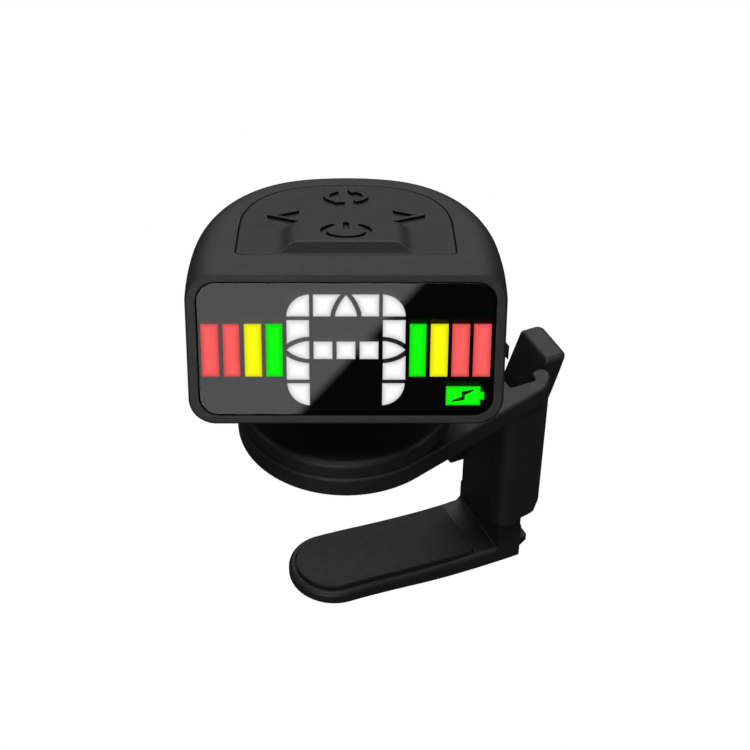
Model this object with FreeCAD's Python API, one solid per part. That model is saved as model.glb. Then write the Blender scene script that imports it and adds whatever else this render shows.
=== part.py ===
import FreeCAD, Part
import os
from math import sin, cos, tan, radians, pi, sqrt, atan2

# Rechargeable clip-on tuner for a guitar headstock.
# Row frame: origin on the swivel axis, in the face of the upper jaw's rubber pad.
# +Z points up, away from the lower jaw; +X points from the swivel axis to the jaw's post.

V = FreeCAD.Vector

# ------------------------------------------------------------------ driving dimensions (mm)
SWIVEL_REST = -24.6          # head turned about the swivel axis at rest, degrees
TILT_REST = 15.3             # head leaned back at rest, degrees

# clamp body
PAD_PROUD = 1.1              # rubber pad stands below the plate
PLATE_T = 2.75
DISC_R = 14.3
PLATE_TOP = PAD_PROUD + PLATE_T
ARM_END_X = 27.6
ARM_END_HALF = 8.1
POST_X0, POST_X1 = 21.5, 25.15
POST_HALF = 5.95
SLOT_CLEAR = 0.08
SLEEVE_BOTTOM = -19.8
COLUMN_X, COLUMN_Y, COLUMN_R = 21.8, 6.7, 2.2   # round inner edge of each rail
TONGUE_X0, TONGUE_X1, TONGUE_OUT = 22.8, 23.8, 0.62
WINDOW_FRONT, WINDOW_BACK = -4.27, 5.7

# turntable and its retention
TURN_R = 14.0
TURN_H = 2.5
HUB_R = 4.0
BORE_CLEAR = 0.06

# tilt hinge
PIVOT_Z = PLATE_TOP + 5.35
KNUCKLE_R = 2.15
PIN_R = 0.8
PIN_CLEAR = 0.04

# lower jaw
JAW_TOP_ROOT, JAW_TOP_TIP = -27.3, -25.3
JAW_BOT_ROOT, JAW_BOT_TIP = -30.5, -27.6
JAW_TIP_R = 6.15
JAW_TIP_X = -2.2
POST_TOP = -7.9
TOOTH_PITCH, TOOTH_DEPTH = 1.5, 0.55
HEEL_TOP = -28.3

# release lever
LEVER_PIN_X, LEVER_PIN_Z = 26.75, -6.5
LEVER_PIN_R = 0.5
LEVER_HUB_R = 1.2

# head
HEAD_H = 19.2
HEAD_FACE = (0.0, -15.9, 22.4 + PLATE_TOP)   # centre of the face, before the swivel
HEAD_HALF, HEAD_DEPTH = 18.8, 36.6
HEAD_WIDEST, HEAD_POWER = 8.0, 2.45
WALL = 1.6
TOP_R, BOT_R = 3.4, 3.2
GLASS_HALF, GLASS_TOP, GLASS_BOT, GLASS_R = 17.27, 8.52, -8.43, 2.3
PAD_Z = HEAD_H / 2
KEY_GAP = 0.07

OUT = "parts"
os.makedirs(OUT, exist_ok=True)


# ------------------------------------------------------------------ helpers
def box(x0, y0, z0, x1, y1, z1):
    return Part.makeBox(x1 - x0, y1 - y0, z1 - z0, V(x0, y0, z0))


def cyl(p, d, r, h):
    return Part.makeCylinder(r, h, V(*p), V(*d))


def poly(pts, axis, a, b):
    """Prism of a closed polygon. axis 'z': pts are (x, y); axis 'y': pts are (x, z)."""
    if axis == "z":
        q = [V(x, y, a) for x, y in pts]
        d = V(0, 0, b - a)
    elif axis == "y":
        q = [V(x, a, z) for x, z in pts]
        d = V(0, b - a, 0)
    else:
        q = [V(a, x, y) for x, y in pts]
        d = V(b - a, 0, 0)
    return Part.Face(Part.makePolygon(q + [q[0]])).extrude(d)


def rrect(x0, y0, x1, y1, r, axis, a, b):
    """Rounded rectangle prism."""
    cs = [(x1 - r, y1 - r, 0), (x0 + r, y1 - r, 90), (x0 + r, y0 + r, 180), (x1 - r, y0 + r, 270)]
    edges = []
    pts = []
    for cx, cy, a0 in cs:
        p = [(cx + r * cos(radians(a0 + t)), cy + r * sin(radians(a0 + t))) for t in (0, 45, 90)]
        pts.append(p)
    def m(p):
        if axis == "z":
            return V(p[0], p[1], a)
        if axis == "y":
            return V(p[0], a, p[1])
        return V(a, p[0], p[1])
    for i in range(4):
        edges.append(Part.Arc(*[m(p) for p in pts[i]]).toShape())
        edges.append(Part.makeLine(m(pts[i][2]), m(pts[(i + 1) % 4][0])))
    d = {"z": V(0, 0, b - a), "y": V(0, b - a, 0), "x": V(b - a, 0, 0)}[axis]
    return Part.Face(Part.Wire(edges)).extrude(d)


def fillet(shape, r, pick):
    es = [e for e in shape.Edges if pick(e)]
    if not es:
        print("  no edges for fillet", r)
        return shape
    try:
        s = shape.makeFillet(r, es)
        if s.isValid() and s.Volume > 0:
            return s
    except Exception as ex:
        pass
    out = shape
    print("  fillet", r, "on", len(es), "edges failed together")
    return out


def mid(e):
    return e.valueAt((e.FirstParameter + e.LastParameter) / 2)


def zrange(e):
    b = e.BoundBox
    return b.ZMin, b.ZMax


def flat_at(e, z, tol=1e-3):
    b = e.BoundBox
    return abs(b.ZMin - z) < tol and abs(b.ZMax - z) < tol


SWIVEL = FreeCAD.Placement(V(0, 0, 0), FreeCAD.Rotation(V(0, 0, 1), SWIVEL_REST))
HEADP = SWIVEL.multiply(FreeCAD.Placement(V(*HEAD_FACE), FreeCAD.Rotation(V(1, 0, 0), -TILT_REST)))


def placed(s, pl):
    c = s.copy()
    c.transformShape(pl.toMatrix(), True)
    return c


NODES = {}


def put(name, shape, pl=None):
    s = shape
    if isinstance(s, list):
        s = Part.makeCompound(s)
    if pl is not None:
        s = placed(s, pl)
    sol = s.Solids
    if len(sol) == 1:
        s = sol[0]
    else:
        s = Part.makeCompound(sol)
    print("%-22s solids %d valid %s vol %.1f" % (name, len(sol), s.isValid(), s.Volume))
    NODES[name] = s
    s.exportStep(os.path.join(OUT, name + ".step"))


# ================================================================== clamp body
# tangent from the disc to the arm's outer corner
def tangent_point(px, py, r):
    d = sqrt(px * px + py * py)
    base = atan2(py, px)
    off = __import__("math").acos(r / d)
    return r * cos(base - off), r * sin(base - off)


tx, ty = tangent_point(25.6, -ARM_END_HALF, DISC_R)
ar = 2.0
arm = poly([(tx, ty), (25.6, -ARM_END_HALF), (ARM_END_X, -ARM_END_HALF + 2.0), (ARM_END_X, ARM_END_HALF - 2.0),
            (25.6, ARM_END_HALF), (tx, -ty)], "z", PAD_PROUD, PLATE_TOP)
arm = fillet(arm, 1.8, lambda e: e.BoundBox.ZLength > 1 and mid(e).x > 25)
disc = cyl((0, 0, PAD_PROUD), (0, 0, 1), DISC_R, PLATE_T)
plate = disc.fuse(arm).removeSplitter()

# two C-shaped rails hang from the arm and guide the post's edges
def corner_cut(x, y, sx, sy, r, z0, z1):
    """Sliver that rounds a square vertical edge at (x, y); the solid lies towards (sx, sy)."""
    xs, ys = sorted((x - sx * 0.1, x + sx * r)), sorted((y - sy * 0.1, y + sy * r))
    return box(xs[0], ys[0], z0, xs[1], ys[1], z1).cut(cyl((x + sx * r, y + sy * r, z0), (0, 0, 1), r, z1 - z0))


sleeve = rrect(COLUMN_X - 1.2, -ARM_END_HALF, ARM_END_X, ARM_END_HALF, 2.0, "z", SLEEVE_BOTTOM, PLATE_TOP - 1.2)
for s in (-1, 1):
    sleeve = sleeve.cut(corner_cut(COLUMN_X - 1.2, s * ARM_END_HALF, 1, -s, 2.0, SLEEVE_BOTTOM - 1, PLATE_TOP))
    sleeve = sleeve.fuse(cyl((COLUMN_X, s * COLUMN_Y, SLEEVE_BOTTOM), (0, 0, 1), COLUMN_R, PLATE_TOP - 1.2 - SLEEVE_BOTTOM))
    # shallow valley between the round inner edge and the outer corner
    sleeve = sleeve.cut(cyl((25.1, s * (ARM_END_HALF + 5.82), SLEEVE_BOTTOM - 1), (0, 0, 1), 6.0, PAD_PROUD - SLEEVE_BOTTOM + 0.4))
sleeve = sleeve.removeSplitter()
# its outer corners follow the arm's
outline = poly([(10, -30), (25.6, -ARM_END_HALF), (ARM_END_X, -ARM_END_HALF + 2.0), (ARM_END_X, ARM_END_HALF - 2.0), (25.6, ARM_END_HALF), (10, 30)], "z", SLEEVE_BOTTOM - 1, PLATE_TOP)
sleeve = sleeve.common(fillet(outline, 1.8, lambda e: e.BoundBox.ZLength > 1 and mid(e).x > 25))
cx0, cx1 = POST_X0 - SLOT_CLEAR, POST_X1 + SLOT_CLEAR
ch = POST_HALF + SLOT_CLEAR
# open inner side, so that the jaw's arm passes between the rails
sleeve = sleeve.cut(box(COLUMN_X - 4, -ch, SLEEVE_BOTTOM - 1, cx0 + 1, ch, PAD_PROUD))
sleeve = fillet(sleeve, 0.9, lambda e: flat_at(e, SLEEVE_BOTTOM) and mid(e).x > 26.1 and abs(mid(e).y) > ch + 0.2)

body = plate.fuse(sleeve)
chan = rrect(cx0, -ch, cx1, ch, 0.4, "z", PAD_PROUD - 0.1, PLATE_TOP + 1).fuse(box(cx0, -ch, SLEEVE_BOTTOM - 1, cx1, ch, PAD_PROUD))
body = body.cut(chan)
# the slot's inner corners in the plate are wide curves
for s in (-1, 1):
    y0, y1 = sorted((s * (TONGUE_OUT + POST_HALF + 0.08), 0))
    body = body.cut(box(TONGUE_X0 - 0.08, y0, SLEEVE_BOTTOM - 1, TONGUE_X1 + 0.08, y1, PAD_PROUD - 0.2))
# gap between the hooks on the outer side, for the release lever and the jaw's heel
body = body.cut(box(cx1 - 0.5, WINDOW_FRONT, SLEEVE_BOTTOM - 1, ARM_END_X + 1, WINDOW_BACK, PLATE_TOP + 1))
for x, y, sx, sy in ((ARM_END_X, WINDOW_FRONT, -1, -1), (cx1, WINDOW_FRONT, 1, -1), (ARM_END_X, WINDOW_BACK, -1, 1), (cx1, WINDOW_BACK, 1, 1)):
    body = body.cut(corner_cut(x, y, sx, sy, 1.05, SLEEVE_BOTTOM - 1, PLATE_TOP + 1))
# pad pocket, counterbore and hub bore under the disc
body = body.cut(cyl((0, 0, PAD_PROUD - 1), (0, 0, 1), 11.55, 1.6))
body = body.cut(cyl((0, 0, PAD_PROUD + 0.5), (0, 0, 1), 7.1, 1.0))
body = body.cut(cyl((0, 0, 0), (0, 0, 1), HUB_R + BORE_CLEAR, 10))
# lever pin: blind at the front, through at the back
body = body.cut(cyl((LEVER_PIN_X, -6.3, LEVER_PIN_Z), (0, 1, 0), LEVER_PIN_R, 20))
# softened top rim of the plate
body = body.removeSplitter()
b2 = fillet(body, 0.3, lambda e: flat_at(e, PLATE_TOP) and (abs(e.BoundBox.Center.y) < 15) and mid(e).distanceToPoint(V(0, 0, PLATE_TOP)) > 8 and mid(e).x < 20)
body = b2
put("clamp_body", body)

pad = cyl((0, 0, 0), (0, 0, 1), 11.45, PAD_PROUD + 0.58)
pad = fillet(pad, 0.5, lambda e: flat_at(e, 0))
pad = pad.cut(cyl((0, 0, PAD_PROUD + 0.1), (0, 0, 1), 3.2, 1.0))
put("upper_jaw_pad", pad)

# ================================================================== turntable (turns with the head)
tt = cyl((0, 0, PLATE_TOP + 0.05), (0, 0, 1), TURN_R, TURN_H - 0.05)
tt = fillet(tt, 0.9, lambda e: flat_at(e, PLATE_TOP + TURN_H))
tt = tt.fuse(cyl((0, 0, PAD_PROUD + 1.45), (0, 0, 1), HUB_R, PLATE_T - 1.4))
# glide ring groove
tt = tt.cut(cyl((0, 0, PLATE_TOP), (0, 0, 1), 12.6, 0.55).cut(cyl((0, 0, PLATE_TOP), (0, 0, 1), 10.9, 0.55)))
# knuckle ears
EAR_IN, EAR_OUT = 2.6, 4.6
for s in (-1, 1):
    x0, x1 = sorted((s * EAR_IN, s * EAR_OUT))
    ear = cyl((x0, 0, PIVOT_Z), (1, 0, 0), KNUCKLE_R, x1 - x0)
    ear = ear.fuse(poly([(-KNUCKLE_R, PIVOT_Z), (KNUCKLE_R, PIVOT_Z), (KNUCKLE_R + 0.9, PLATE_TOP + TURN_H - 0.2), (-KNUCKLE_R - 0.9, PLATE_TOP + TURN_H - 0.2)], "x", x0, x1))
    tt = tt.fuse(ear)
tt = tt.cut(cyl((-6, 0, PIVOT_Z), (1, 0, 0), PIN_R, 12))
tt = tt.cut(cyl((0, 0, -1), (0, 0, 1), 1.0, 1 + PLATE_TOP + 1.6))
tt = tt.removeSplitter()
put("turntable", tt, SWIVEL)

ring = cyl((0, 0, PLATE_TOP), (0, 0, 1), 12.5, 0.5).cut(cyl((0, 0, PLATE_TOP), (0, 0, 1), 11.0, 0.5))
put("glide_ring", ring, SWIVEL)

# retaining washer, wave washer and screw under the plate
put("wave_washer", cyl((0, 0, PAD_PROUD + 1.16), (0, 0, 1), 6.2, 0.3).cut(cyl((0, 0, 0), (0, 0, 1), HUB_R + 0.3, 5)), SWIVEL)
put("retaining_washer", cyl((0, 0, PAD_PROUD + 0.75), (0, 0, 1), 6.6, 0.4).cut(cyl((0, 0, 0), (0, 0, 1), 1.05, 5)).fuse(
    cyl((0, 0, PAD_PROUD + 1.15), (0, 0, 1), 3.9, 0.3).cut(cyl((0, 0, 0), (0, 0, 1), 1.05, 5))).removeSplitter(), SWIVEL)
scr = cyl((0, 0, PAD_PROUD + 0.15), (0, 0, 1), 2.1, 0.6).fuse(cyl((0, 0, PAD_PROUD + 0.75), (0, 0, 1), 1.0, 3.5))
scr = scr.cut(box(-1.3, -0.2, 0, 1.3, 0.2, PAD_PROUD + 0.4)).cut(box(-0.2, -1.3, 0, 0.2, 1.3, PAD_PROUD + 0.4))
put("swivel_screw", scr, SWIVEL)

# ================================================================== lower jaw
# side profile of the arm in X-Z, swept across the width, trimmed to the plan
XT = JAW_TIP_X - JAW_TIP_R
top = [(19.2, JAW_TOP_ROOT), (12.0, JAW_TOP_ROOT + 0.35), (6.0, JAW_TOP_ROOT + 0.95), (0.0, JAW_TOP_TIP - 0.35), (-5.0, JAW_TOP_TIP - 0.02), (XT - 0.5, JAW_TOP_TIP + 0.1)]
bot = [(XT - 0.5, JAW_BOT_TIP + 0.2), (-4.0, JAW_BOT_TIP - 0.1), (4.0, JAW_BOT_TIP - 1.0), (12.0, JAW_BOT_ROOT + 0.7), (20.0, JAW_BOT_ROOT + 0.1), (24.0, JAW_BOT_ROOT)]


def spline(pts, m):
    c = Part.BSplineCurve()
    c.interpolate([m(p) for p in pts])
    return c.toShape()


def side(pts_fn, y):
    return [V(x, y, z) for x, z in pts_fn]


def jaw_prism(top_pts, bot_pts, right, y0, y1):
    m = lambda p: V(p[0], y0, p[1])
    e1 = spline(top_pts, m)
    e2 = spline(bot_pts, m)
    es = [e1, Part.makeLine(m(top_pts[-1]), m(bot_pts[0])), e2]
    chain = [bot_pts[-1]] + right + [top_pts[0]]
    for a, b in zip(chain[:-1], chain[1:]):
        es.append(Part.makeLine(m(a), m(b)))
    return Part.Face(Part.Wire(es)).extrude(V(0, y1 - y0, 0))


right = [(POST_X1, JAW_BOT_ROOT), (POST_X1, -24.0), (POST_X0, -24.0), (POST_X0, JAW_TOP_ROOT + 0.2), (POST_X0 - 0.16, JAW_TOP_ROOT + 0.02)]
arm_solid = jaw_prism(top, bot, right, -9, 9)
# plan of the arm: straight from the post, round at the tip
R = JAW_TIP_R
W0 = POST_HALF
plan_edges = [
    Part.makeLine(V(28, -W0, -40), V(16, -W0, -40)),
    Part.makeLine(V(16, -W0, -40), V(JAW_TIP_X, -R, -40)),
    Part.Arc(V(JAW_TIP_X, -R, -40), V(JAW_TIP_X - R, 0, -40), V(JAW_TIP_X, R, -40)).toShape(),
    Part.makeLine(V(JAW_TIP_X, R, -40), V(16, W0, -40)),
    Part.makeLine(V(16, W0, -40), V(28, W0, -40)),
    Part.makeLine(V(28, W0, -40), V(28, -W0, -40)),
]
plan = Part.Face(Part.Wire(plan_edges)).extrude(V(0, 0, 30))
jaw = arm_solid.common(plan)
jaw = fillet(jaw, 0.8, lambda e: (e.BoundBox.ZMax < JAW_TOP_TIP + 0.3 and e.BoundBox.ZMin > JAW_TOP_ROOT - 0.1 and abs(e.BoundBox.Center.x) < 16 and mid(e).x < 19 and e.Length > 3 and e.BoundBox.XLength > 1.5))
jaw = fillet(jaw, 0.7, lambda e: (e.BoundBox.ZMax < JAW_BOT_TIP + 0.5 and e.BoundBox.ZMin > JAW_BOT_ROOT - 0.1 and mid(e).x < 24 and e.Length > 3 and e.BoundBox.XLength > 1.5))
# post with ratchet teeth on its outer face
post = rrect(POST_X0, -POST_HALF, POST_X1, POST_HALF, 0.45, "z", -25.0, POST_TOP)
post = fillet(post, 0.5, lambda e: flat_at(e, POST_TOP))
nt = 12
for i in range(nt):
    z = POST_TOP - 1.6 - i * TOOTH_PITCH
    tooth = poly([(POST_X1 + 0.1, z), (POST_X1 - TOOTH_DEPTH, z), (POST_X1 + 0.1, z - TOOTH_PITCH * 0.92)], "y", -3.3, 4.6)
    post = post.cut(tooth)
jaw = jaw.fuse(post)
for s in (-1, 1):
    y0, y1 = sorted((s * (POST_HALF - 0.5), s * (POST_HALF + TONGUE_OUT)))
    jaw = jaw.fuse(box(TONGUE_X0, y0, -19.3, TONGUE_X1, y1, -15.8))
# heel: a finger tab behind the post's foot, between the rails
heel = poly([(POST_X1 - 1.5, JAW_BOT_ROOT), (27.2, JAW_BOT_ROOT), (27.75, JAW_BOT_ROOT + 0.5), (27.75, JAW_BOT_ROOT + 1.3), (POST_X1 + 0.05, HEEL_TOP), (POST_X1 - 1.5, HEEL_TOP)], "y", -4.1, 4.1)
heel = fillet(heel, 0.9, lambda e: abs(abs(mid(e).y) - 4.1) < 0.01 and mid(e).x > 27.4 and e.BoundBox.ZLength > 0.3)
jaw = jaw.fuse(heel).removeSplitter()
# recess for the rubber pad
PAD_X0, PAD_X1, PAD_HALF = JAW_TIP_X, 18.0, 5.2


def jaw_pad_plan(half, x1, r, z0, z1, c=0.5):
    es = [
        Part.makeLine(V(x1, -half + c, z0), V(x1, half - c, z0)),
        Part.Arc(V(x1, half - c, z0), V(x1 - c * (1 - cos(pi / 4)), half - c * (1 - sin(pi / 4)), z0), V(x1 - c, half, z0)).toShape(),
        Part.makeLine(V(x1 - c, half, z0), V(JAW_TIP_X, half, z0)),
        Part.Arc(V(JAW_TIP_X, half, z0), V(JAW_TIP_X - half, 0, z0), V(JAW_TIP_X, -half, z0)).toShape(),
        Part.makeLine(V(JAW_TIP_X, -half, z0), V(x1 - c, -half, z0)),
        Part.Arc(V(x1 - c, -half, z0), V(x1 - c * (1 - cos(pi / 4)), -half + c * (1 - sin(pi / 4)), z0), V(x1, -half + c, z0)).toShape(),
    ]
    return Part.Face(Part.Wire(es)).extrude(V(0, 0, z1 - z0))


def band(lo, hi, x1=19.6):
    """Slab that follows the arm's top profile, between two offsets from it."""
    t = [(x1, JAW_TOP_ROOT - 0.02)] + top[1:-1] + [(XT - 0.5, top[-1][1])]
    up = [(x, z + hi) for x, z in t]
    dn = [(x, z + lo) for x, z in reversed(t)]
    m = lambda p: V(p[0], -9, p[1])
    es = [spline(up, m), Part.makeLine(m(up[-1]), m(dn[0])), spline(dn, m), Part.makeLine(m(dn[-1]), m(up[0]))]
    return Part.Face(Part.Wire(es)).extrude(V(0, 18, 0))


recess = band(-0.55, 3.0).common(jaw_pad_plan(PAD_HALF + 0.12, PAD_X1 + 0.12, 0, -40, -10, 0.6))
jaw = jaw.cut(recess)
put("lower_jaw", jaw)
lpad = band(-0.53, 0.42).common(jaw_pad_plan(PAD_HALF, PAD_X1, 0, -40, -10, 0.5))
lpad = fillet(lpad, 0.25, lambda e: e.BoundBox.ZMin > JAW_TOP_ROOT + 0.3 - 0.02 and e.Length > 0.3 and e.BoundBox.XLength + e.BoundBox.YLength > 0.3 and mid(e).z > JAW_TOP_ROOT + 0.38)
put("lower_jaw_pad", lpad)

# ================================================================== release lever
zt = PLATE_TOP + 0.25
LV = lambda p: V(p[0], -3.5, p[1])
outer = Part.BSplineCurve()
outer.interpolate([LV(p) for p in ((31.85, zt), (30.95, 0.6), (30.2, -1.9), (29.3, -4.6), (28.3, -7.2), (27.75, -9.0), (27.5, -11.0))])
rest = [(27.5, -11.0), (25.8, -11.35), (25.8, -8.4), (25.85, -5.4), (26.25, -2.2), (28.35, zt), (31.85, zt)]
lever = Part.Face(Part.Wire([outer.toShape()] + [Part.makeLine(LV(p), LV(q)) for p, q in zip(rest[:-1], rest[1:])])).extrude(V(0, 7.45, 0))
lever = fillet(lever, 1.15, lambda e: e.Length > 14 and abs(mid(e).x - 29.0) < 2.5 and e.BoundBox.YLength < 0.01)
lever = fillet(lever, 0.7, lambda e: e.BoundBox.ZMin > zt - 0.01)
lever = fillet(lever, 0.55, lambda e: e.BoundBox.ZLength > 4 and e.BoundBox.YLength < 0.6 and abs(mid(e).z - 0.6) < 1.5 and mid(e).x < 28.6)
hub = cyl((LEVER_PIN_X, WINDOW_FRONT + 0.1, LEVER_PIN_Z), (0, 1, 0), LEVER_HUB_R, WINDOW_BACK - WINDOW_FRONT - 0.2)
lever = lever.fuse(hub)
# pawl nose, just clear of the tooth crests
lever = lever.fuse(poly([(25.85, -9.7), (POST_X1 + 0.1, -10.7), (POST_X1 + 0.1, -11.0), (25.85, -11.34)], "y", -3.2, 3.65))
lever = lever.cut(cyl((LEVER_PIN_X, -9, LEVER_PIN_Z), (0, 1, 0), LEVER_PIN_R + PIN_CLEAR, 20))
# thumb ridges on the outer face
lever = lever.removeSplitter()
put("release_lever", lever)
put("lever_pin", cyl((LEVER_PIN_X, -6.25, LEVER_PIN_Z), (0, 1, 0), LEVER_PIN_R, 13.2))
# bent leaf spring: its foot sits in the back rail, its blade leans on the lever's inner side
spr = poly([(25.45, 5.66), (26.9, 5.66), (26.9, 4.1), (26.75, 4.1), (26.75, 5.51), (25.45, 5.51)], "z", -0.9, 1.6)
put("lever_spring", spr)

# ================================================================== head
# local frame: x across the face, y depth behind the face, z height; face centre at the origin


def arc_from(p, t, q):
    """Circular arc from p, leaving along unit vector t, to q."""
    c = (q[0] - p[0], q[1] - p[1])
    L = sqrt(c[0] ** 2 + c[1] ** 2)
    u = (c[0] / L, c[1] / L)
    cr = u[0] * t[1] - u[1] * t[0]
    dt = u[0] * t[0] + u[1] * t[1]
    al = atan2(cr, dt)
    m = ((p[0] + q[0]) / 2 - u[1] * L / 2 * tan(al / 2), (p[1] + q[1]) / 2 + u[0] * L / 2 * tan(al / 2))
    return m, abs(al) > 1e-5


def biarcs(knots, z):
    """Tangent arcs through (point, unit tangent) pairs."""
    es = []
    for (p0, t0), (p1, t1) in zip(knots[:-1], knots[1:]):
        v = (p1[0] - p0[0], p1[1] - p0[1])
        tt_ = (t0[0] + t1[0], t0[1] + t1[1])
        k = 2 * (1 - (t0[0] * t1[0] + t0[1] * t1[1]))
        vt, vv = v[0] * tt_[0] + v[1] * tt_[1], v[0] ** 2 + v[1] ** 2
        d = vv / (2 * vt) if k < 1e-9 else (-vt + sqrt(vt * vt + k * vv)) / k
        pm = ((p0[0] + d * t0[0] + p1[0] - d * t1[0]) / 2, (p0[1] + d * t0[1] + p1[1] - d * t1[1]) / 2)
        tm = (pm[0] - p0[0] - 0, pm[1] - p0[1])
        m1, c1 = arc_from(p0, t0, pm)
        m2, c2 = arc_from(p1, (-t1[0], -t1[1]), pm)
        P = lambda a: V(a[0], a[1], z)
        es.append(Part.Arc(P(p0), P(m1), P(pm)).toShape() if c1 else Part.makeLine(P(p0), P(pm)))
        es.append(Part.Arc(P(pm), P(m2), P(p1)).toShape() if c2 else Part.makeLine(P(pm), P(p1)))
    return es


def outline_knots(half, y0, depth, n, ks, front_half, off):
    """Knots of a D outline: from the front right corner round the back to the front left corner."""
    b = depth - y0
    out = []
    # front corner, then the widest point, then points of a superellipse quadrant
    ang = atan2(half - front_half, y0) * 1.9
    t = (sin(ang), cos(ang))
    out.append(((front_half - off, 0.0), t))
    for k in ks:
        x = half * (1 - k ** n) ** (1 / n) if k < 1 else 0.0
        y = y0 + b * k
        # tangent from the implicit form
        if k == 0:
            t = (0.0, 1.0)
        elif k == 1:
            t = (-1.0, 0.0)
        else:
            gx, gy = (x / half) ** (n - 1) / half, k ** (n - 1) / b
            L = sqrt(gx * gx + gy * gy)
            t = (-gy / L, gx / L)
        out.append(((x - off * t[1], y + off * t[0]), t))
    left = [((-p[0], p[1]), (t[0], -t[1])) for p, t in reversed(out[:-1])]
    return out + left


HEAD_KS = (0.0, 0.42, 0.7, 0.88, 1.0)
HEAD_FRONT_HALF = 18.55


def head_plan_wire(z, off=0.0):
    kn = outline_knots(HEAD_HALF, HEAD_WIDEST, HEAD_DEPTH, HEAD_POWER, HEAD_KS, HEAD_FRONT_HALF, off)
    es = biarcs(kn, z)
    es.append(Part.makeLine(V(kn[-1][0][0], kn[-1][0][1], z), V(kn[0][0][0], kn[0][0][1], z)))
    return Part.Wire(es)


H2 = HEAD_H / 2
outer = Part.Face(head_plan_wire(-H2)).extrude(V(0, 0, HEAD_H))
front_edge = lambda e: e.BoundBox.YMax < 0.01
o = outer
o = fillet(o, TOP_R, lambda e: flat_at(e, H2) and not front_edge(e))
o = fillet(o, BOT_R, lambda e: flat_at(e, -H2) and not front_edge(e))
o = fillet(o, 0.3, lambda e: front_edge(e))
outer = o
print("head outer", outer.isValid(), outer.Volume)


def inset(t, z0, z1, front=None):
    s = Part.Face(head_plan_wire(z0, t)).extrude(V(0, 0, z1 - z0))
    return s.common(box(-30, t if front is None else front, z0 - 1, 30, 60, z1 + 1))


cav = inset(WALL, -H2 + 1.6, H2 - 1.6, 0)
cav = fillet(cav, 2.0, lambda e: flat_at(e, H2 - 1.6) and e.BoundBox.YMax > 3)
cav = fillet(cav, 1.8, lambda e: flat_at(e, -H2 + 1.6) and e.BoundBox.YMax > 3)
cav = cav.common(box(-30, 1.7, -30, 30, 60, 30))
housing = outer.cut(cav)
# bottom opening for the cover
housing = housing.cut(inset(4.4, -H2 - 1, -H2 + 3, 4.4))
# front opening: seat for the window, then a through opening for the display
housing = housing.cut(rrect(-GLASS_HALF - 0.06, GLASS_BOT - 0.06, GLASS_HALF + 0.06, GLASS_TOP + 0.06, GLASS_R + 0.06, "y", -1, 1.15))
housing = housing.cut(rrect(-GLASS_HALF + 0.35, GLASS_BOT + 0.35, GLASS_HALF - 0.35, GLASS_TOP - 0.35, 1.95, "y", 0.5, 3.0))


# keypad outline in plan
def keypad_plan(off, z0, z1):
    yf, r = 6.1 - off, 1.0 + off
    xf = 13.0 + off
    P = lambda x, y: V(x, y, z0)
    kn = [k for k in outline_knots(13.0, 15.0, 30.85, 2.5, (0.0, 0.45, 0.75, 0.9, 1.0), 13.0, -off) if k[0][1] > 14.0]
    es = biarcs(kn, z0)
    es += [Part.makeLine(P(-xf, 15.0), P(-xf, yf + r)),
           Part.Arc(P(-xf, yf + r), P(-xf + r - r * sin(pi / 4), yf + r - r * cos(pi / 4)), P(-xf + r, yf)).toShape(),
           Part.makeLine(P(-xf + r, yf), P(xf - r, yf)),
           Part.Arc(P(xf - r, yf), P(xf - r + r * sin(pi / 4), yf + r - r * cos(pi / 4)), P(xf, yf + r)).toShape(),
           Part.makeLine(P(xf, yf + r), P(xf, 15.0))]
    return Part.Face(Part.Wire(Part.__sortEdges__(es))).extrude(V(0, 0, z1 - z0))


housing = housing.cut(keypad_plan(0.12, H2 - 3, H2 + 1))
# shelf that the keypad's flange sits under is the wall itself; charge socket opening at the back
housing = housing.cut(rrect(-4.1, -5.3, 4.1, -2.1, 1.2, "y", 33.0, 40))
# screw bosses
BOSS = [(-12.2, 7.4), (12.2, 7.4), (-8.2, 26.4), (8.2, 26.4)]
for bx, by in BOSS:
    bz1 = H2 - 5.2 if by > 20 else H2 - 5.2
    bo = cyl((bx, by, -H2 + 1.75), (0, 0, 1), 1.9, bz1 + H2 - 1.75)
    if by > 20:
        pass
    housing = housing.fuse(bo.common(outer))
for bx, by in BOSS:
    housing = housing.cut(cyl((bx, by, -H2 - 1), (0, 0, 1), 0.62, 8.2))
# the rear bosses are tied to the wall
for s in (-1, 1):
    x0, x1 = sorted((s * 8.2, s * 16.0))
    housing = housing.fuse(box(x0, 25.8, -H2 + 1.75, x1, 27.0, H2 - 5.2).common(outer).cut(inset(4.4, -H2 - 1, -H2 + 1.75, 4.4)))
    x0, x1 = sorted((s * 12.2, s * 18.0))
    housing = housing.fuse(box(x0, 6.8, -H2 + 1.75, x1, 8.0, H2 - 5.2).common(outer))
for bx, by in BOSS:
    housing = housing.cut(cyl((bx, by, -H2 - 1), (0, 0, 1), 0.62, 8.2))
# keypad must stay clear of the front bosses
housing = housing.cut(keypad_plan(0.12, H2 - 3, H2 + 1))
housing = housing.removeSplitter()
put("head_housing", housing, HEADP)

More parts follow.
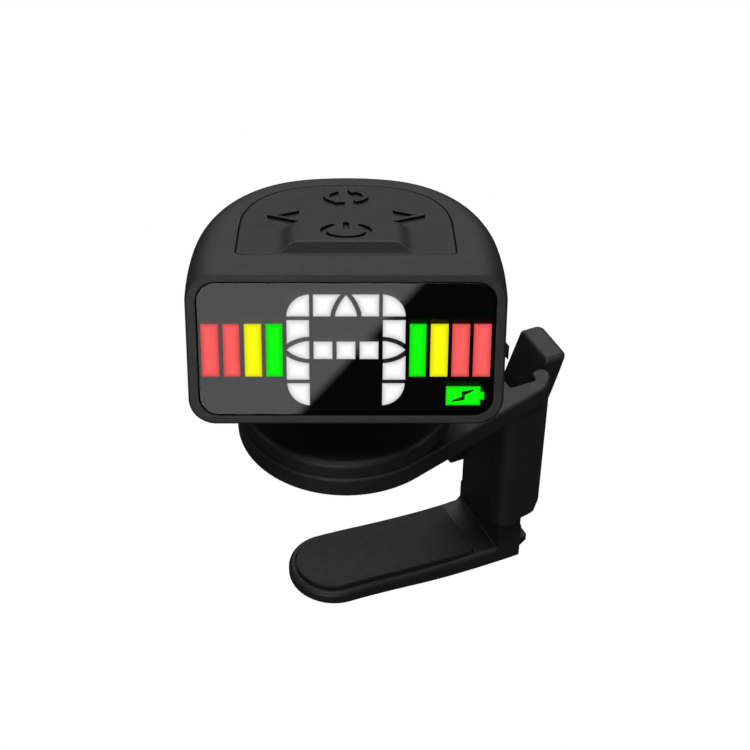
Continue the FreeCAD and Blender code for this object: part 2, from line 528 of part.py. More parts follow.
# bottom cover with the hinge lug
inv = HEADP.inverse()
piv = inv.multVec(V(0, 0, PIVOT_Z))
PY, PZ = piv.y, piv.z
cover = inset(4.5, -H2, -H2 + 1.6, 4.5)
lug = cyl((-2.35, PY, PZ), (1, 0, 0), KNUCKLE_R, 4.7)
lug = lug.fuse(poly([(PY - KNUCKLE_R, PZ), (PY + KNUCKLE_R, PZ), (PY + KNUCKLE_R + 0.9, -H2 + 0.3), (PY - KNUCKLE_R - 0.9, -H2 + 0.3)], "x", -2.35, 2.35))
cover = cover.fuse(lug)
cover = cover.cut(cyl((-5, PY, PZ), (1, 0, 0), PIN_R + PIN_CLEAR, 10))
for bx, by in BOSS:
    cover = cover.cut(cyl((bx, by, -H2 - 1), (0, 0, 1), 0.95, 4))
    cover = cover.cut(cyl((bx, by, -H2 - 1), (0, 0, 1), 1.75, 1.8))
cover = cover.removeSplitter()
put("bottom_cover", cover, HEADP)

scs = []
for bx, by in BOSS:
    s = cyl((bx, by, -H2 + 0.05), (0, 0, 1), 1.6, 0.75).fuse(cyl((bx, by, -H2 + 0.8), (0, 0, 1), 0.6, 5.0))
    s = s.cut(box(bx - 1.0, by - 0.16, -H2, bx + 1.0, by + 0.16, -H2 + 0.4)).cut(box(bx - 0.16, by - 1.0, -H2, bx + 0.16, by + 1.0, -H2 + 0.4))
    scs.append(s)
put("cover_screws", scs, HEADP)

# window, display and its gasket
win = rrect(-GLASS_HALF, GLASS_BOT, GLASS_HALF, GLASS_TOP, GLASS_R, "y", 0.12, 1.1)
win = fillet(win, 0.15, lambda e: e.BoundBox.YMax < 0.13)
put("window", win, HEADP)
# the display is bonded just behind the window; a foam ring holds it off the light guide
put("display_panel", rrect(-16.86, -7.85, 16.86, 7.85, 1.9, "y", 1.12, 2.5), HEADP)
gk = rrect(-16.3, -7.5, 16.3, 7.5, 1.4, "y", 2.52, 2.9).cut(rrect(-15.6, -6.9, 15.6, 6.9, 0.9, "y", 2.0, 3.4))
put("display_gasket", gk, HEADP)
put("backlight", box(-16.0, 2.92, -7.2, 16.0, 4.4, 7.0), HEADP)

# keypad: one silicone pad with a raised island at the front and openings for the keys
PT = H2


ISLAND_H = 1.0               # the power key's island stands this far above the pad
SIGN_PROUD = 0.33            # raised signs
SIGN_DEEP = 0.35             # sunk power sign


def island_solid():
    """Raised island round the power key: S-shaped sides, a leaning front wall, a bowed rear edge."""
    y0, y1 = 5.0, 17.5
    P = lambda x, z: V(x, y0, PT + z)
    xi, xo, xm, h = 5.7, 8.9, 7.3, ISLAND_H
    es = []
    for s in (1, -1):
        # two tangent arcs make each side: convex above, concave below
        dx, dz = xm - xi, h / 2
        r = (dx * dx + dz * dz) / (2 * dz)
        a = 2 * atan2(dz, dx)
        m1 = P(s * (xi + r * sin(a / 2)), h - r * (1 - cos(a / 2)))
        m2 = P(s * (xo - r * sin(a / 2)), r * (1 - cos(a / 2)))
        es.append(Part.Arc(P(s * xi, h), m1, P(s * xm, h / 2)).toShape())
        es.append(Part.Arc(P(s * xm, h / 2), m2, P(s * xo, 0)).toShape())
        es.append(Part.makeLine(P(s * xo, 0), P(s * xo, -0.4)))
    es.append(Part.makeLine(P(-xi, h), P(xi, h)))
    es.append(Part.makeLine(P(-xo, -0.4), P(xo, -0.4)))
    s = Part.Face(Part.Wire(Part.__sortEdges__(es))).extrude(V(0, y1 - y0, 0))
    # front wall leans back, rear edge bows out behind the sign
    s = s.cut(poly([(3.0, PT - 1), (6.35 - 0.4 * 1.55, PT - 0.4), (6.35 + 1.55 * ISLAND_H, PT + ISLAND_H), (6.35 + 1.55 * 2, PT + 2), (3.0, PT + 2)], "x", -12, 12))
    s = s.cut(box(-12, 3, PT - 1, 12, 6.35, PT + 2))
    return s.common(cyl((0, -5.6, PT - 1), (0, 0, 1), 22.0, 4))


base_pad = keypad_plan(0.0, PT - 1.5, PT)
base_pad = fillet(base_pad, 0.25, lambda e: flat_at(e, PT))
flange = keypad_plan(1.3, PT - 2.6, PT - 1.68).common(cav)
for bx, by in BOSS:
    flange = flange.cut(cyl((bx, by, 0), (0, 0, 1), 2.2, 20))
padk = base_pad.fuse(keypad_plan(0.0, PT - 2.6, PT - 1.4))
padk = padk.fuse(flange)
rs = island_solid()
rs = fillet(rs, 0.15, lambda e: mid(e).z > PT + 0.9 and mid(e).y < 8.2 and e.BoundBox.XLength > 8)
padk = padk.fuse(rs)


# key outlines
def ring_arc(cx, cy, r, w, a0, a1, z0, z1):
    def P(rad, a):
        return V(cx + rad * cos(radians(a)), cy + rad * sin(radians(a)), z0)
    am = (a0 + a1) / 2
    ro, ri = r + w / 2, r - w / 2
    es = [Part.Arc(P(ro, a0), P(ro, am), P(ro, a1)).toShape(), Part.makeLine(P(ro, a1), P(ri, a1)),
          Part.Arc(P(ri, a1), P(ri, am), P(ri, a0)).toShape(), Part.makeLine(P(ri, a0), P(ro, a0))]
    return Part.Face(Part.Wire(es)).extrude(V(0, 0, z1 - z0))


POWER_Y = 11.6
MODE_Y = 25.9
ARROW_Y = 18.85


def g_power(o, z0, z1):
    a = ring_arc(0, POWER_Y, 2.72, 0.76 + 2 * o, -242 - o * 20, 62 + o * 20, z0, z1)
    b = box(-0.4 - o, POWER_Y + 0.2 - o, z0, 0.4 + o, POWER_Y + 2.8 + o, z1)
    return [a, b]


def tri(pts, o, z0, z1):
    cx = sum(p[0] for p in pts) / 3
    cy = sum(p[1] for p in pts) / 3
    q = []
    for x, y in pts:
        d = sqrt((x - cx) ** 2 + (y - cy) ** 2)
        k = 1 + 2.0 * o / d
        q.append((cx + (x - cx) * k, cy + (y - cy) * k))
    return poly(q, "z", z0, z1)


def g_cycle(o, z0, z1):
    res = []
    for s in (0, 180):
        a = ring_arc(0, MODE_Y, 2.4, 0.72 + 2 * o, s - 66 - o * 20, s + 58 + o * 4, z0, z1)
        c, q = cos(radians(s + 58)), sin(radians(s + 58))
        # arrow head at the end of the arc, pointing along the turn
        tx_, ty_ = -q, c
        bx, by = 2.4 * c, MODE_Y + 2.4 * q
        pts = [(bx + c * 0.85 - tx_ * 0.05, by + q * 0.85 - ty_ * 0.05), (bx - c * 0.85 - tx_ * 0.05, by - q * 0.85 - ty_ * 0.05), (bx + tx_ * 1.2, by + ty_ * 1.2)]
        res.append(a.fuse(tri(pts, o, z0, z1)).removeSplitter())
    return res


def g_chev(sgn, o, z0, z1):
    # open arrow head: tip outwards
    tip, bx, hy, w, cy = 9.78, 5.88, 2.0, 0.58, ARROW_Y
    pts = [(tip + 1.7 * o, cy), (bx - o, cy + hy + 1.3 * o), (bx - o, cy + hy - w - o * 1.2), (tip - 1.13 - 2.3 * o, cy), (bx - o, cy - hy + w + o * 1.2), (bx - o, cy - hy - 1.3 * o)]
    return [poly([(sgn * x, y) for x, y in pts], "z", z0, z1)]


KEYS = {
    "power_key": (g_power, (0, POWER_Y), 1, 3.5),
    "mode_key": (g_cycle, (0, MODE_Y), 0, 3.4),
    "left_key": (lambda o, a, b: g_chev(-1, o, a, b), (-7.7, ARROW_Y), 0, 2.9),
    "right_key": (lambda o, a, b: g_chev(1, o, a, b), (7.7, ARROW_Y), 0, 2.9),
}
for nm, (fn, (kx, ky), lift, rad) in KEYS.items():
    # opening in the pad for the raised sign, and the pocket below for the key's plate
    for g in fn(KEY_GAP, PT - 1.2, PT + 3):
        padk = padk.cut(g)
    padk = padk.cut(cyl((kx, ky, PT - 3.2), (0, 0, 1), rad + 0.1, 2.62))
    plate_k = cyl((kx, ky, PT - 1.2), (0, 0, 1), rad, 0.6)
    stem = cyl((kx, ky, PT - 1.55), (0, 0, 1), 0.9, 0.4)
    zt_ = PT + ISLAND_H - SIGN_DEEP if lift else PT + SIGN_PROUD
    sol = plate_k.fuse(stem)
    for g in fn(0.0, PT - 0.7, zt_):
        sol = sol.fuse(g)
    sol = sol.removeSplitter()
    put(nm, sol, HEADP)
padk = padk.removeSplitter()
put("keypad", padk, HEADP)

# boards, switches, battery, charge socket and pick-up
kb = inset(3.2, PT - 4.9, PT - 4.1, 5.6).common(box(-20, 5.6, -20, 20, 29.2, 20))
for bx, by in BOSS:
    kb = kb.cut(cyl((bx, by, -20), (0, 0, 1), 2.1, 40))
put("key_board", kb, HEADP)
sw = []
for nm, (fn, (kx, ky), lift, rad) in KEYS.items():
    sw.append(box(kx - 1.6, ky - 1.6, PT - 4.08, kx + 1.6, ky + 1.6, PT - 2.8).fuse(cyl((kx, ky, PT - 2.8), (0, 0, 1), 0.9, 0.75)))
put("key_switches", sw, HEADP)
put("battery", rrect(-9.6, 7.6, 9.6, 24.2, 1.5, "z", -2.2, 3.6), HEADP)
mb = box(-14.2, 10.2, -4.0, 14.2, 24.2, -3.2).fuse(box(-5.9, 24.0, -4.0, 5.9, 33.0, -3.2)).removeSplitter()
put("main_board", mb, HEADP)
usb = rrect(-3.75, -5.05, 3.75, -4.02, 0.45, "y", 29.8, 34.9)
usb = rrect(-3.75, -6.5, 3.75, -4.05, 0.7, "y", 29.6, 34.6)
usb = usb.cut(rrect(-3.5, -6.25, 3.5, -4.3, 0.55, "y", 30.4, 35))
usb = usb.fuse(box(-2.6, 30.3, -5.45, 2.6, 34.2, -5.1))
put("charge_socket", usb, HEADP)
put("pickup_disc", cyl((0, 18.0, -H2 + 1.65), (0, 0, 1), 6.0, 0.45), HEADP)

# hinge pin and friction washers
put("hinge_pin", cyl((-EAR_OUT - 0.2, 0, PIVOT_Z), (1, 0, 0), PIN_R, 2 * EAR_OUT + 0.4), SWIVEL)
wsh = []
for s in (-1, 1):
    x0, x1 = sorted((s * 2.38, s * 2.58))
    wsh.append(cyl((x0, 0, PIVOT_Z), (1, 0, 0), 1.9, x1 - x0).cut(cyl((x0 - 1, 0, PIVOT_Z), (1, 0, 0), PIN_R + PIN_CLEAR, 3)))
put("hinge_washers", wsh, SWIVEL)

bb = Part.makeCompound(list(NODES.values())).BoundBox
print("nodes", len(NODES), "box", [round(v, 2) for v in (bb.XMin, bb.YMin, bb.ZMin, bb.XMax, bb.YMax, bb.ZMax)])
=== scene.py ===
from math import atan2, cos, hypot, pi, radians, sin, sqrt, tan

import bpy
import numpy as np
from mathutils import Matrix, Vector
from mathutils.geometry import delaunay_2d_cdt


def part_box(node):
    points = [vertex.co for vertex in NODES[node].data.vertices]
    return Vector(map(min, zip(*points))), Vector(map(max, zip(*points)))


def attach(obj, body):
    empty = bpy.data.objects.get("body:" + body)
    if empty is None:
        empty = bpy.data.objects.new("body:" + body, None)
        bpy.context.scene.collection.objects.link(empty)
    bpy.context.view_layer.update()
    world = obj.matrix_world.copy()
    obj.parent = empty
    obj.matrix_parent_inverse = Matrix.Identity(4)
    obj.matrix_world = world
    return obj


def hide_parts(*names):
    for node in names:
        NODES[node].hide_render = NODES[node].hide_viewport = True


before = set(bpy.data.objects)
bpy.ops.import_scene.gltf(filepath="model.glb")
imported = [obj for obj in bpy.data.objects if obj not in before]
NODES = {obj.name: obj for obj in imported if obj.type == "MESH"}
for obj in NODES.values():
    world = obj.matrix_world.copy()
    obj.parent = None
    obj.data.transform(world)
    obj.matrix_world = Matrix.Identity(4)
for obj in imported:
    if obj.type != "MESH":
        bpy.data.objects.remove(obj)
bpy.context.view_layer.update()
MM = 0.001

# the head's own frame in the row frame, millimetres: x across the face, y depth, z height
HEADP = Matrix.Rotation(radians(-24.6), 4, "Z") @ Matrix.Translation((0, -15.9, 26.25)) @ Matrix.Rotation(radians(-15.3), 4, "X")
ROW = Matrix.Identity(4)
VIEW = Matrix.Rotation(radians(-24.6), 4, "Z")        # the photograph's view looks along +Y of this frame


# ---------------------------------------------------------------- small mesh tools
def make(name, verts, faces, body, mat=None, frame_m=ROW, smooth=True, normals=None, angle=None):
    """A mesh piece from millimetre points in the given frame, riding on a body."""
    me = bpy.data.meshes.new(name)
    me.from_pydata([(frame_m @ Vector(v)) * MM for v in verts], [], faces)
    me.validate()
    ob = bpy.data.objects.new(name, me)
    bpy.context.scene.collection.objects.link(ob)
    if smooth:
        me.polygons.foreach_set("use_smooth", [True] * len(me.polygons))
    if normals is not None:
        rot = frame_m.to_3x3()
        me.normals_split_custom_set_from_vertices([(rot @ Vector(n)).normalized() for n in normals])
    elif angle is not None:
        me.set_sharp_from_angle(angle=radians(angle))
    if mat:
        me.materials.append(mat)
    if body:
        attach(ob, body)
    return ob


def area(poly):
    return 0.5 * sum(a[0] * b[1] - b[0] * a[1] for a, b in zip(poly, poly[1:] + poly[:1]))


def ccw(poly):
    return list(poly) if area(poly) > 0 else list(reversed(poly))


def offset(poly, d):
    """Polygon moved outwards by d (mitred), for a counter-clockwise loop."""
    out, n = [], len(poly)
    for i in range(n):
        p0, p1, p2 = poly[i - 1], poly[i], poly[(i + 1) % n]
        a = (p1[0] - p0[0], p1[1] - p0[1])
        b = (p2[0] - p1[0], p2[1] - p1[1])
        la, lb = hypot(*a) or 1, hypot(*b) or 1
        na, nb = (a[1] / la, -a[0] / la), (b[1] / lb, -b[0] / lb)
        m = (na[0] + nb[0], na[1] + nb[1])
        k = max(0.35, (1 + na[0] * nb[0] + na[1] * nb[1]))
        out.append((p1[0] + d * m[0] / k, p1[1] + d * m[1] / k))
    return out


def inside(poly, x, y):
    c, n = False, len(poly)
    j = n - 1
    for i in range(n):
        xi, yi = poly[i]
        xj, yj = poly[j]
        if (yi > y) != (yj > y) and x < (xj - xi) * (y - yi) / (yj - yi) + xi:
            c = not c
        j = i
    return c


def edge_dist(poly, pts):
    """Distance of each point to the outline, as an array."""
    p = np.array(pts, float)
    a = np.array(poly, float)
    b = np.roll(a, -1, 0)
    best = np.full(len(p), 1e9)
    for s, e in zip(a, b):
        d = e - s
        L = (d @ d) or 1e-12
        t = np.clip(((p - s) @ d) / L, 0, 1)
        q = p - (s + t[:, None] * d)
        best = np.minimum(best, np.sqrt((q * q).sum(1)))
    return best


def triangulate(loops, points):
    """Constrained triangulation: returns points and triangles."""
    vs, es = [], []
    for loop in loops:
        k = len(vs)
        vs += [Vector(p) for p in loop]
        es += [(k + i, k + (i + 1) % len(loop)) for i in range(len(loop))]
    vs += [Vector(p) for p in points]
    v, _, f, *_ = delaunay_2d_cdt(vs, es, [], 0, 1e-5)
    return [(p.x, p.y) for p in v], [tuple(t) for t in f]


def slab(poly, top, bottom, bevel, steps=3):
    """Closed prism of a flat outline with a rounded top edge. Returns vertices and faces (x, y, z)."""
    poly = ccw(poly)
    n = len(poly)
    vs = [(x, y, bottom) for x, y in poly] + [(x, y, top - bevel) for x, y in poly]
    fs = [tuple(reversed(range(n)))]
    k = n
    fs += [(i, (i + 1) % n, k + (i + 1) % n, k + i) for i in range(n)]
    for s in range(1, steps + 1):
        a = s / steps * pi / 2
        ring = offset(poly, -bevel * (1 - cos(a)))
        vs += [(x, y, top - bevel + bevel * sin(a)) for x, y in ring]
        fs += [(k + i, k + (i + 1) % n, k + n + (i + 1) % n, k + n + i) for i in range(n)]
        k += n
    fs.append(tuple(k + i for i in range(n)))
    return vs, fs


# ---------------------------------------------------------------- materials
def shader(name):
    m = bpy.data.materials.new(name)
    m.use_nodes = True
    nt = m.node_tree
    nt.nodes.clear()
    out = nt.nodes.new("ShaderNodeOutputMaterial")
    b = nt.nodes.new("ShaderNodeBsdfPrincipled")
    nt.links.new(b.outputs["BSDF"], out.inputs["Surface"])
    tc = nt.nodes.new("ShaderNodeTexCoord")
    return m, nt, b, tc.outputs["Object"]


def noise(nt, co, size, detail=2.0, rough=0.55):
    n = nt.nodes.new("ShaderNodeTexNoise")
    n.inputs["Scale"].default_value = 1.0 / (size * MM)
    n.inputs["Detail"].default_value = detail
    n.inputs["Roughness"].default_value = rough
    nt.links.new(co, n.inputs["Vector"])
    return n.outputs["Fac"]


def spread(nt, fac, lo, hi, a=0.3, b=0.7):
    n = nt.nodes.new("ShaderNodeMapRange")
    n.inputs["From Min"].default_value = a
    n.inputs["From Max"].default_value = b
    n.inputs["To Min"].default_value = lo
    n.inputs["To Max"].default_value = hi
    nt.links.new(fac, n.inputs["Value"])
    return n.outputs["Result"]


def blend_colour(nt, fac, a, b):
    n = nt.nodes.new("ShaderNodeMix")
    n.data_type = "RGBA"
    nt.links.new(fac, n.inputs["Factor"])
    for sock, v in ((n.inputs["A"], a), (n.inputs["B"], b)):
        if isinstance(v, bpy.types.NodeSocket):
            nt.links.new(v, sock)
        else:
            sock.default_value = (*v, 1.0)
    return n.outputs["Result"]


def bump(nt, height, depth, normal=None, strength=1.0):
    n = nt.nodes.new("ShaderNodeBump")
    n.inputs["Strength"].default_value = strength
    n.inputs["Distance"].default_value = depth * MM
    nt.links.new(height, n.inputs["Height"])
    if normal is not None:
        nt.links.new(normal, n.inputs["Normal"])
    return n.outputs["Normal"]


def soft_edges(nt, radius):
    n = nt.nodes.new("ShaderNodeBevel")
    n.samples = 6
    n.inputs["Radius"].default_value = radius * MM
    return n.outputs["Normal"]


def moulded(name, base, rough, grain=0.17, depth=0.006, edge=0.2, var=0.10, spec=0.5, painted_edge_highlight=0.0, sheen=0.0):
    """Moulded plastic or rubber: spark-eroded grain, slow tone changes, softened edges, and a painted highlight that
    lightens the colour along the edges.
    """
    m, nt, b, co = shader(name)
    slow = noise(nt, co, 9.0, 3.0)
    fine = noise(nt, co, grain, 3.0, 0.6)
    mid = noise(nt, co, 1.4, 2.0)
    lo = tuple(c * (1 - var) for c in base)
    hi = tuple(c * (1 + var) for c in base)
    col = blend_colour(nt, spread(nt, slow, 0, 1), lo, hi)
    speck = noise(nt, co, grain * 0.8, 1.0)
    scale = nt.nodes.new("ShaderNodeVectorMath")
    scale.operation = "SCALE"
    nt.links.new(col, scale.inputs[0])
    nt.links.new(spread(nt, speck, 0.72, 1.28), scale.inputs["Scale"])
    col = scale.outputs["Vector"]
    # painted highlight: along rounded edges, where the bevel normal leans off the true normal, the colour is lifted
    # towards light grey
    if edge and painted_edge_highlight:
        bev = soft_edges(nt, edge * 1.6)
        geo = nt.nodes.new("ShaderNodeNewGeometry")
        dot = nt.nodes.new("ShaderNodeVectorMath")
        dot.operation = "DOT_PRODUCT"
        nt.links.new(bev, dot.inputs[0])
        nt.links.new(geo.outputs["Normal"], dot.inputs[1])
        highlight_mask = spread(nt, dot.outputs["Value"], painted_edge_highlight, 0.0, 0.80, 0.985)
        col = blend_colour(nt, highlight_mask, col, tuple(min(1, c * 2.6 + 0.01) for c in base))
    nt.links.new(col, b.inputs["Base Color"])
    add = nt.nodes.new("ShaderNodeMath")
    add.operation = "ADD"
    nt.links.new(spread(nt, mid, rough - 0.03, rough + 0.03), add.inputs[0])
    nt.links.new(spread(nt, fine, -0.05, 0.05), add.inputs[1])
    nt.links.new(add.outputs[0], b.inputs["Roughness"])
    b.inputs["Specular IOR Level"].default_value = spec
    if sheen:
        b.inputs["Sheen Weight"].default_value = sheen
        b.inputs["Sheen Roughness"].default_value = 0.6
    nrm = soft_edges(nt, edge) if edge else None
    nt.links.new(bump(nt, fine, depth, nrm), b.inputs["Normal"])
    return m


def metal(name, base, rough, brushed=0.5):
    m, nt, b, co = shader(name)
    mp = nt.nodes.new("ShaderNodeMapping")
    mp.inputs["Scale"].default_value = (1.0, 0.15, 1.0)
    nt.links.new(co, mp.inputs["Vector"])
    f = noise(nt, mp.outputs[0], 0.12, 2.0)
    nt.links.new(blend_colour(nt, spread(nt, noise(nt, co, 2.0), 0, 1), tuple(c * 0.85 for c in base), base), b.inputs["Base Color"])
    b.inputs["Metallic"].default_value = 1.0
    nt.links.new(spread(nt, f, rough - 0.08, rough + 0.08), b.inputs["Roughness"])
    nt.links.new(bump(nt, f, 0.002 * brushed, soft_edges(nt, 0.06)), b.inputs["Normal"])
    return m


def board_look(name):
    m, nt, b, co = shader(name)
    br = nt.nodes.new("ShaderNodeTexBrick")
    br.inputs["Scale"].default_value = 420.0
    br.inputs["Mortar Size"].default_value = 0.03
    br.inputs["Color1"].default_value = (0.008, 0.075, 0.03, 1)
    br.inputs["Color2"].default_value = (0.010, 0.095, 0.04, 1)
    br.inputs["Mortar"].default_value = (0.03, 0.17, 0.07, 1)
    nt.links.new(co, br.inputs["Vector"])
    nt.links.new(br.outputs["Color"], b.inputs["Base Color"])
    nt.links.new(spread(nt, noise(nt, co, 0.8), 0.25, 0.4), b.inputs["Roughness"])
    nt.links.new(bump(nt, br.outputs["Fac"], 0.02), b.inputs["Normal"])
    b.inputs["Coat Weight"].default_value = 0.4
    return m


def foil_look(name):
    m, nt, b, co = shader(name)
    w = noise(nt, co, 3.0, 4.0, 0.7)
    nt.links.new(blend_colour(nt, spread(nt, w, 0, 1), (0.45, 0.46, 0.47), (0.68, 0.69, 0.70)), b.inputs["Base Color"])
    b.inputs["Metallic"].default_value = 0.9
    nt.links.new(spread(nt, w, 0.28, 0.45), b.inputs["Roughness"])
    nt.links.new(bump(nt, w, 0.08), b.inputs["Normal"])
    return m


def foam_look(name):
    m, nt, b, co = shader(name)
    v = nt.nodes.new("ShaderNodeTexVoronoi")
    v.inputs["Scale"].default_value = 4200.0
    nt.links.new(co, v.inputs["Vector"])
    nt.links.new(blend_colour(nt, spread(nt, v.outputs["Distance"], 0, 1, 0.0, 0.8), (0.006, 0.006, 0.006), (0.03, 0.03, 0.03)), b.inputs["Base Color"])
    b.inputs["Roughness"].default_value = 0.95
    nt.links.new(bump(nt, v.outputs["Distance"], 0.05), b.inputs["Normal"])
    return m


def milky(name, base, rough, glow=0.0):
    m, nt, b, co = shader(name)
    f = noise(nt, co, 0.6, 3.0)
    nt.links.new(blend_colour(nt, spread(nt, f, 0, 1), tuple(c * 0.92 for c in base), base), b.inputs["Base Color"])
    nt.links.new(spread(nt, f, rough - 0.06, rough + 0.06), b.inputs["Roughness"])
    b.inputs["Subsurface Weight"].default_value = 0.25
    b.inputs["Subsurface Scale"].default_value = 0.0006
    nt.links.new(bump(nt, f, 0.004, soft_edges(nt, 0.08)), b.inputs["Normal"])
    return m


def panel_look(name):
    m, nt, b, co = shader(name)
    f = noise(nt, co, 0.3)
    nt.links.new(blend_colour(nt, spread(nt, f, 0, 1), (0.0012, 0.0012, 0.0013), (0.0018, 0.0018, 0.0019)), b.inputs["Base Color"])
    nt.links.new(spread(nt, f, 0.5, 0.6), b.inputs["Roughness"])
    b.inputs["Specular IOR Level"].default_value = 0.02
    return m


def window_look(name):
    m, nt, b, co = shader(name)
    f = noise(nt, co, 6.0, 2.0)
    b.inputs["Base Color"].default_value = (0.56, 0.56, 0.57, 1)
    b.inputs["Transmission Weight"].default_value = 1.0
    b.inputs["IOR"].default_value = 1.5
    nt.links.new(spread(nt, f, 0.0, 0.012), b.inputs["Roughness"])
    return m


def lit(name, edge, centre, strength):
    """A lit display segment: brighter in the middle, from its own distance-to-edge value."""
    m, nt, b, co = shader(name)
    at = nt.nodes.new("ShaderNodeAttribute")
    at.attribute_name = "lit"
    tiny = noise(nt, co, 0.25, 2.0)
    mul = nt.nodes.new("ShaderNodeMath")
    mul.operation = "MULTIPLY_ADD"
    nt.links.new(tiny, mul.inputs[0])
    mul.inputs[1].default_value = 0.04
    nt.links.new(at.outputs["Fac"], mul.inputs[2])
    c = blend_colour(nt, mul.outputs[0], edge, centre)
    nt.links.new(c, b.inputs["Emission Color"])
    b.inputs["Emission Strength"].default_value = strength
    b.inputs["Base Color"].default_value = (0.02, 0.02, 0.02, 1)
    b.inputs["Roughness"].default_value = 0.6
    b.inputs["Specular IOR Level"].default_value = 0.0
    return m


BODY = moulded("body_plastic_look", (0.0285, 0.0285, 0.0290), 0.47, grain=0.16, depth=0.014, edge=0.16, painted_edge_highlight=0.22)
BODY_SOFT = moulded("body_plastic_soft_look", (0.0285, 0.0285, 0.0290), 0.47, grain=0.16, depth=0.014, edge=0.45, painted_edge_highlight=0.22)
SILICONE = moulded("keypad_silicone_look", (0.0215, 0.0215, 0.0220), 0.42, grain=0.13, depth=0.005, edge=0.05, spec=0.42)
# painted shade: a near-black copy of the silicone for the side walls of the keypad's edge and of its signs, standing in
# for the shade in those gaps
PAINTED_SHADE_WALL = moulded("keypad_wall_painted_shade_look", (0.0035, 0.0035, 0.0036), 0.7, grain=0.12, depth=0.003, edge=0.0, spec=0.1)
RUBBER = moulded("jaw_rubber_look", (0.0200, 0.0200, 0.0205), 0.58, grain=0.18, depth=0.012, edge=0.0, spec=0.40, sheen=0.05)
STEEL = metal("steel_look", (0.62, 0.62, 0.61), 0.30)
BRASS = metal("brass_look", (0.78, 0.58, 0.28), 0.28)
BOARD = board_look("board_look")
FOIL = foil_look("cell_foil_look")
FOAM = foam_look("foam_look")
ACETAL = milky("acetal_look", (0.75, 0.74, 0.71), 0.42)
DIFFUSER = milky("diffuser_look", (0.85, 0.86, 0.87), 0.5)
PANEL = panel_look("display_look")
GLASS = window_look("window_look")

LOOKS = {
    "clamp_body": BODY_SOFT, "lower_jaw": BODY, "release_lever": BODY, "turntable": BODY, "head_housing": BODY, "bottom_cover": BODY,
    "upper_jaw_pad": RUBBER, "lower_jaw_pad": RUBBER, "keypad": SILICONE,
    "power_key": SILICONE, "mode_key": SILICONE, "left_key": SILICONE, "right_key": SILICONE,
    "window": GLASS, "display_panel": PANEL, "backlight": DIFFUSER, "display_gasket": FOAM,
    "lever_pin": STEEL, "lever_spring": STEEL, "wave_washer": STEEL, "retaining_washer": STEEL, "swivel_screw": STEEL,
    "hinge_pin": STEEL, "cover_screws": STEEL, "key_switches": STEEL, "charge_socket": STEEL,
    "glide_ring": ACETAL, "hinge_washers": ACETAL, "key_board": BOARD, "main_board": BOARD, "battery": FOIL, "pickup_disc": BRASS,
}
for n, o in NODES.items():
    o.data.materials.clear()
    o.data.materials.append(LOOKS[n])


# ---------------------------------------------------------------- keypad
PT = 9.6                      # pad level
ISLAND_H, XI, XO = 1.0, 5.65, 8.55
FOOT_Y, RUN = 6.40, 1.50      # foot of the island's front wall, and its run per mm of height
REAR_C, REAR_R = -9.05, 24.65 # the island's bowed rear edge
SIGN_DEEP, SIGN_PROUD = 0.31, 0.33
POWER_Y, MODE_Y, ARROW_Y = 11.51, 25.9, 18.75


def arc_points(p, t, q, step):
    """Points of the circular arc that leaves p along t and ends at q, p left out."""
    c = (q[0] - p[0], q[1] - p[1])
    L = hypot(*c)
    u = (c[0] / L, c[1] / L)
    al = atan2(u[0] * t[1] - u[1] * t[0], u[0] * t[0] + u[1] * t[1])
    n = max(1, int(L / step))
    if abs(al) < 1e-6:
        return [(p[0] + c[0] * i / n, p[1] + c[1] * i / n) for i in range(1, n + 1)]
    r = L / (2 * sin(al))
    # centre lies to the right of the leaving direction when al > 0
    cx, cy = p[0] + r * t[1], p[1] - r * t[0]
    a0 = atan2(p[1] - cy, p[0] - cx)
    return [(cx + abs(r) * cos(a0 - 2 * al * i / n), cy + abs(r) * sin(a0 - 2 * al * i / n)) for i in range(1, n + 1)]


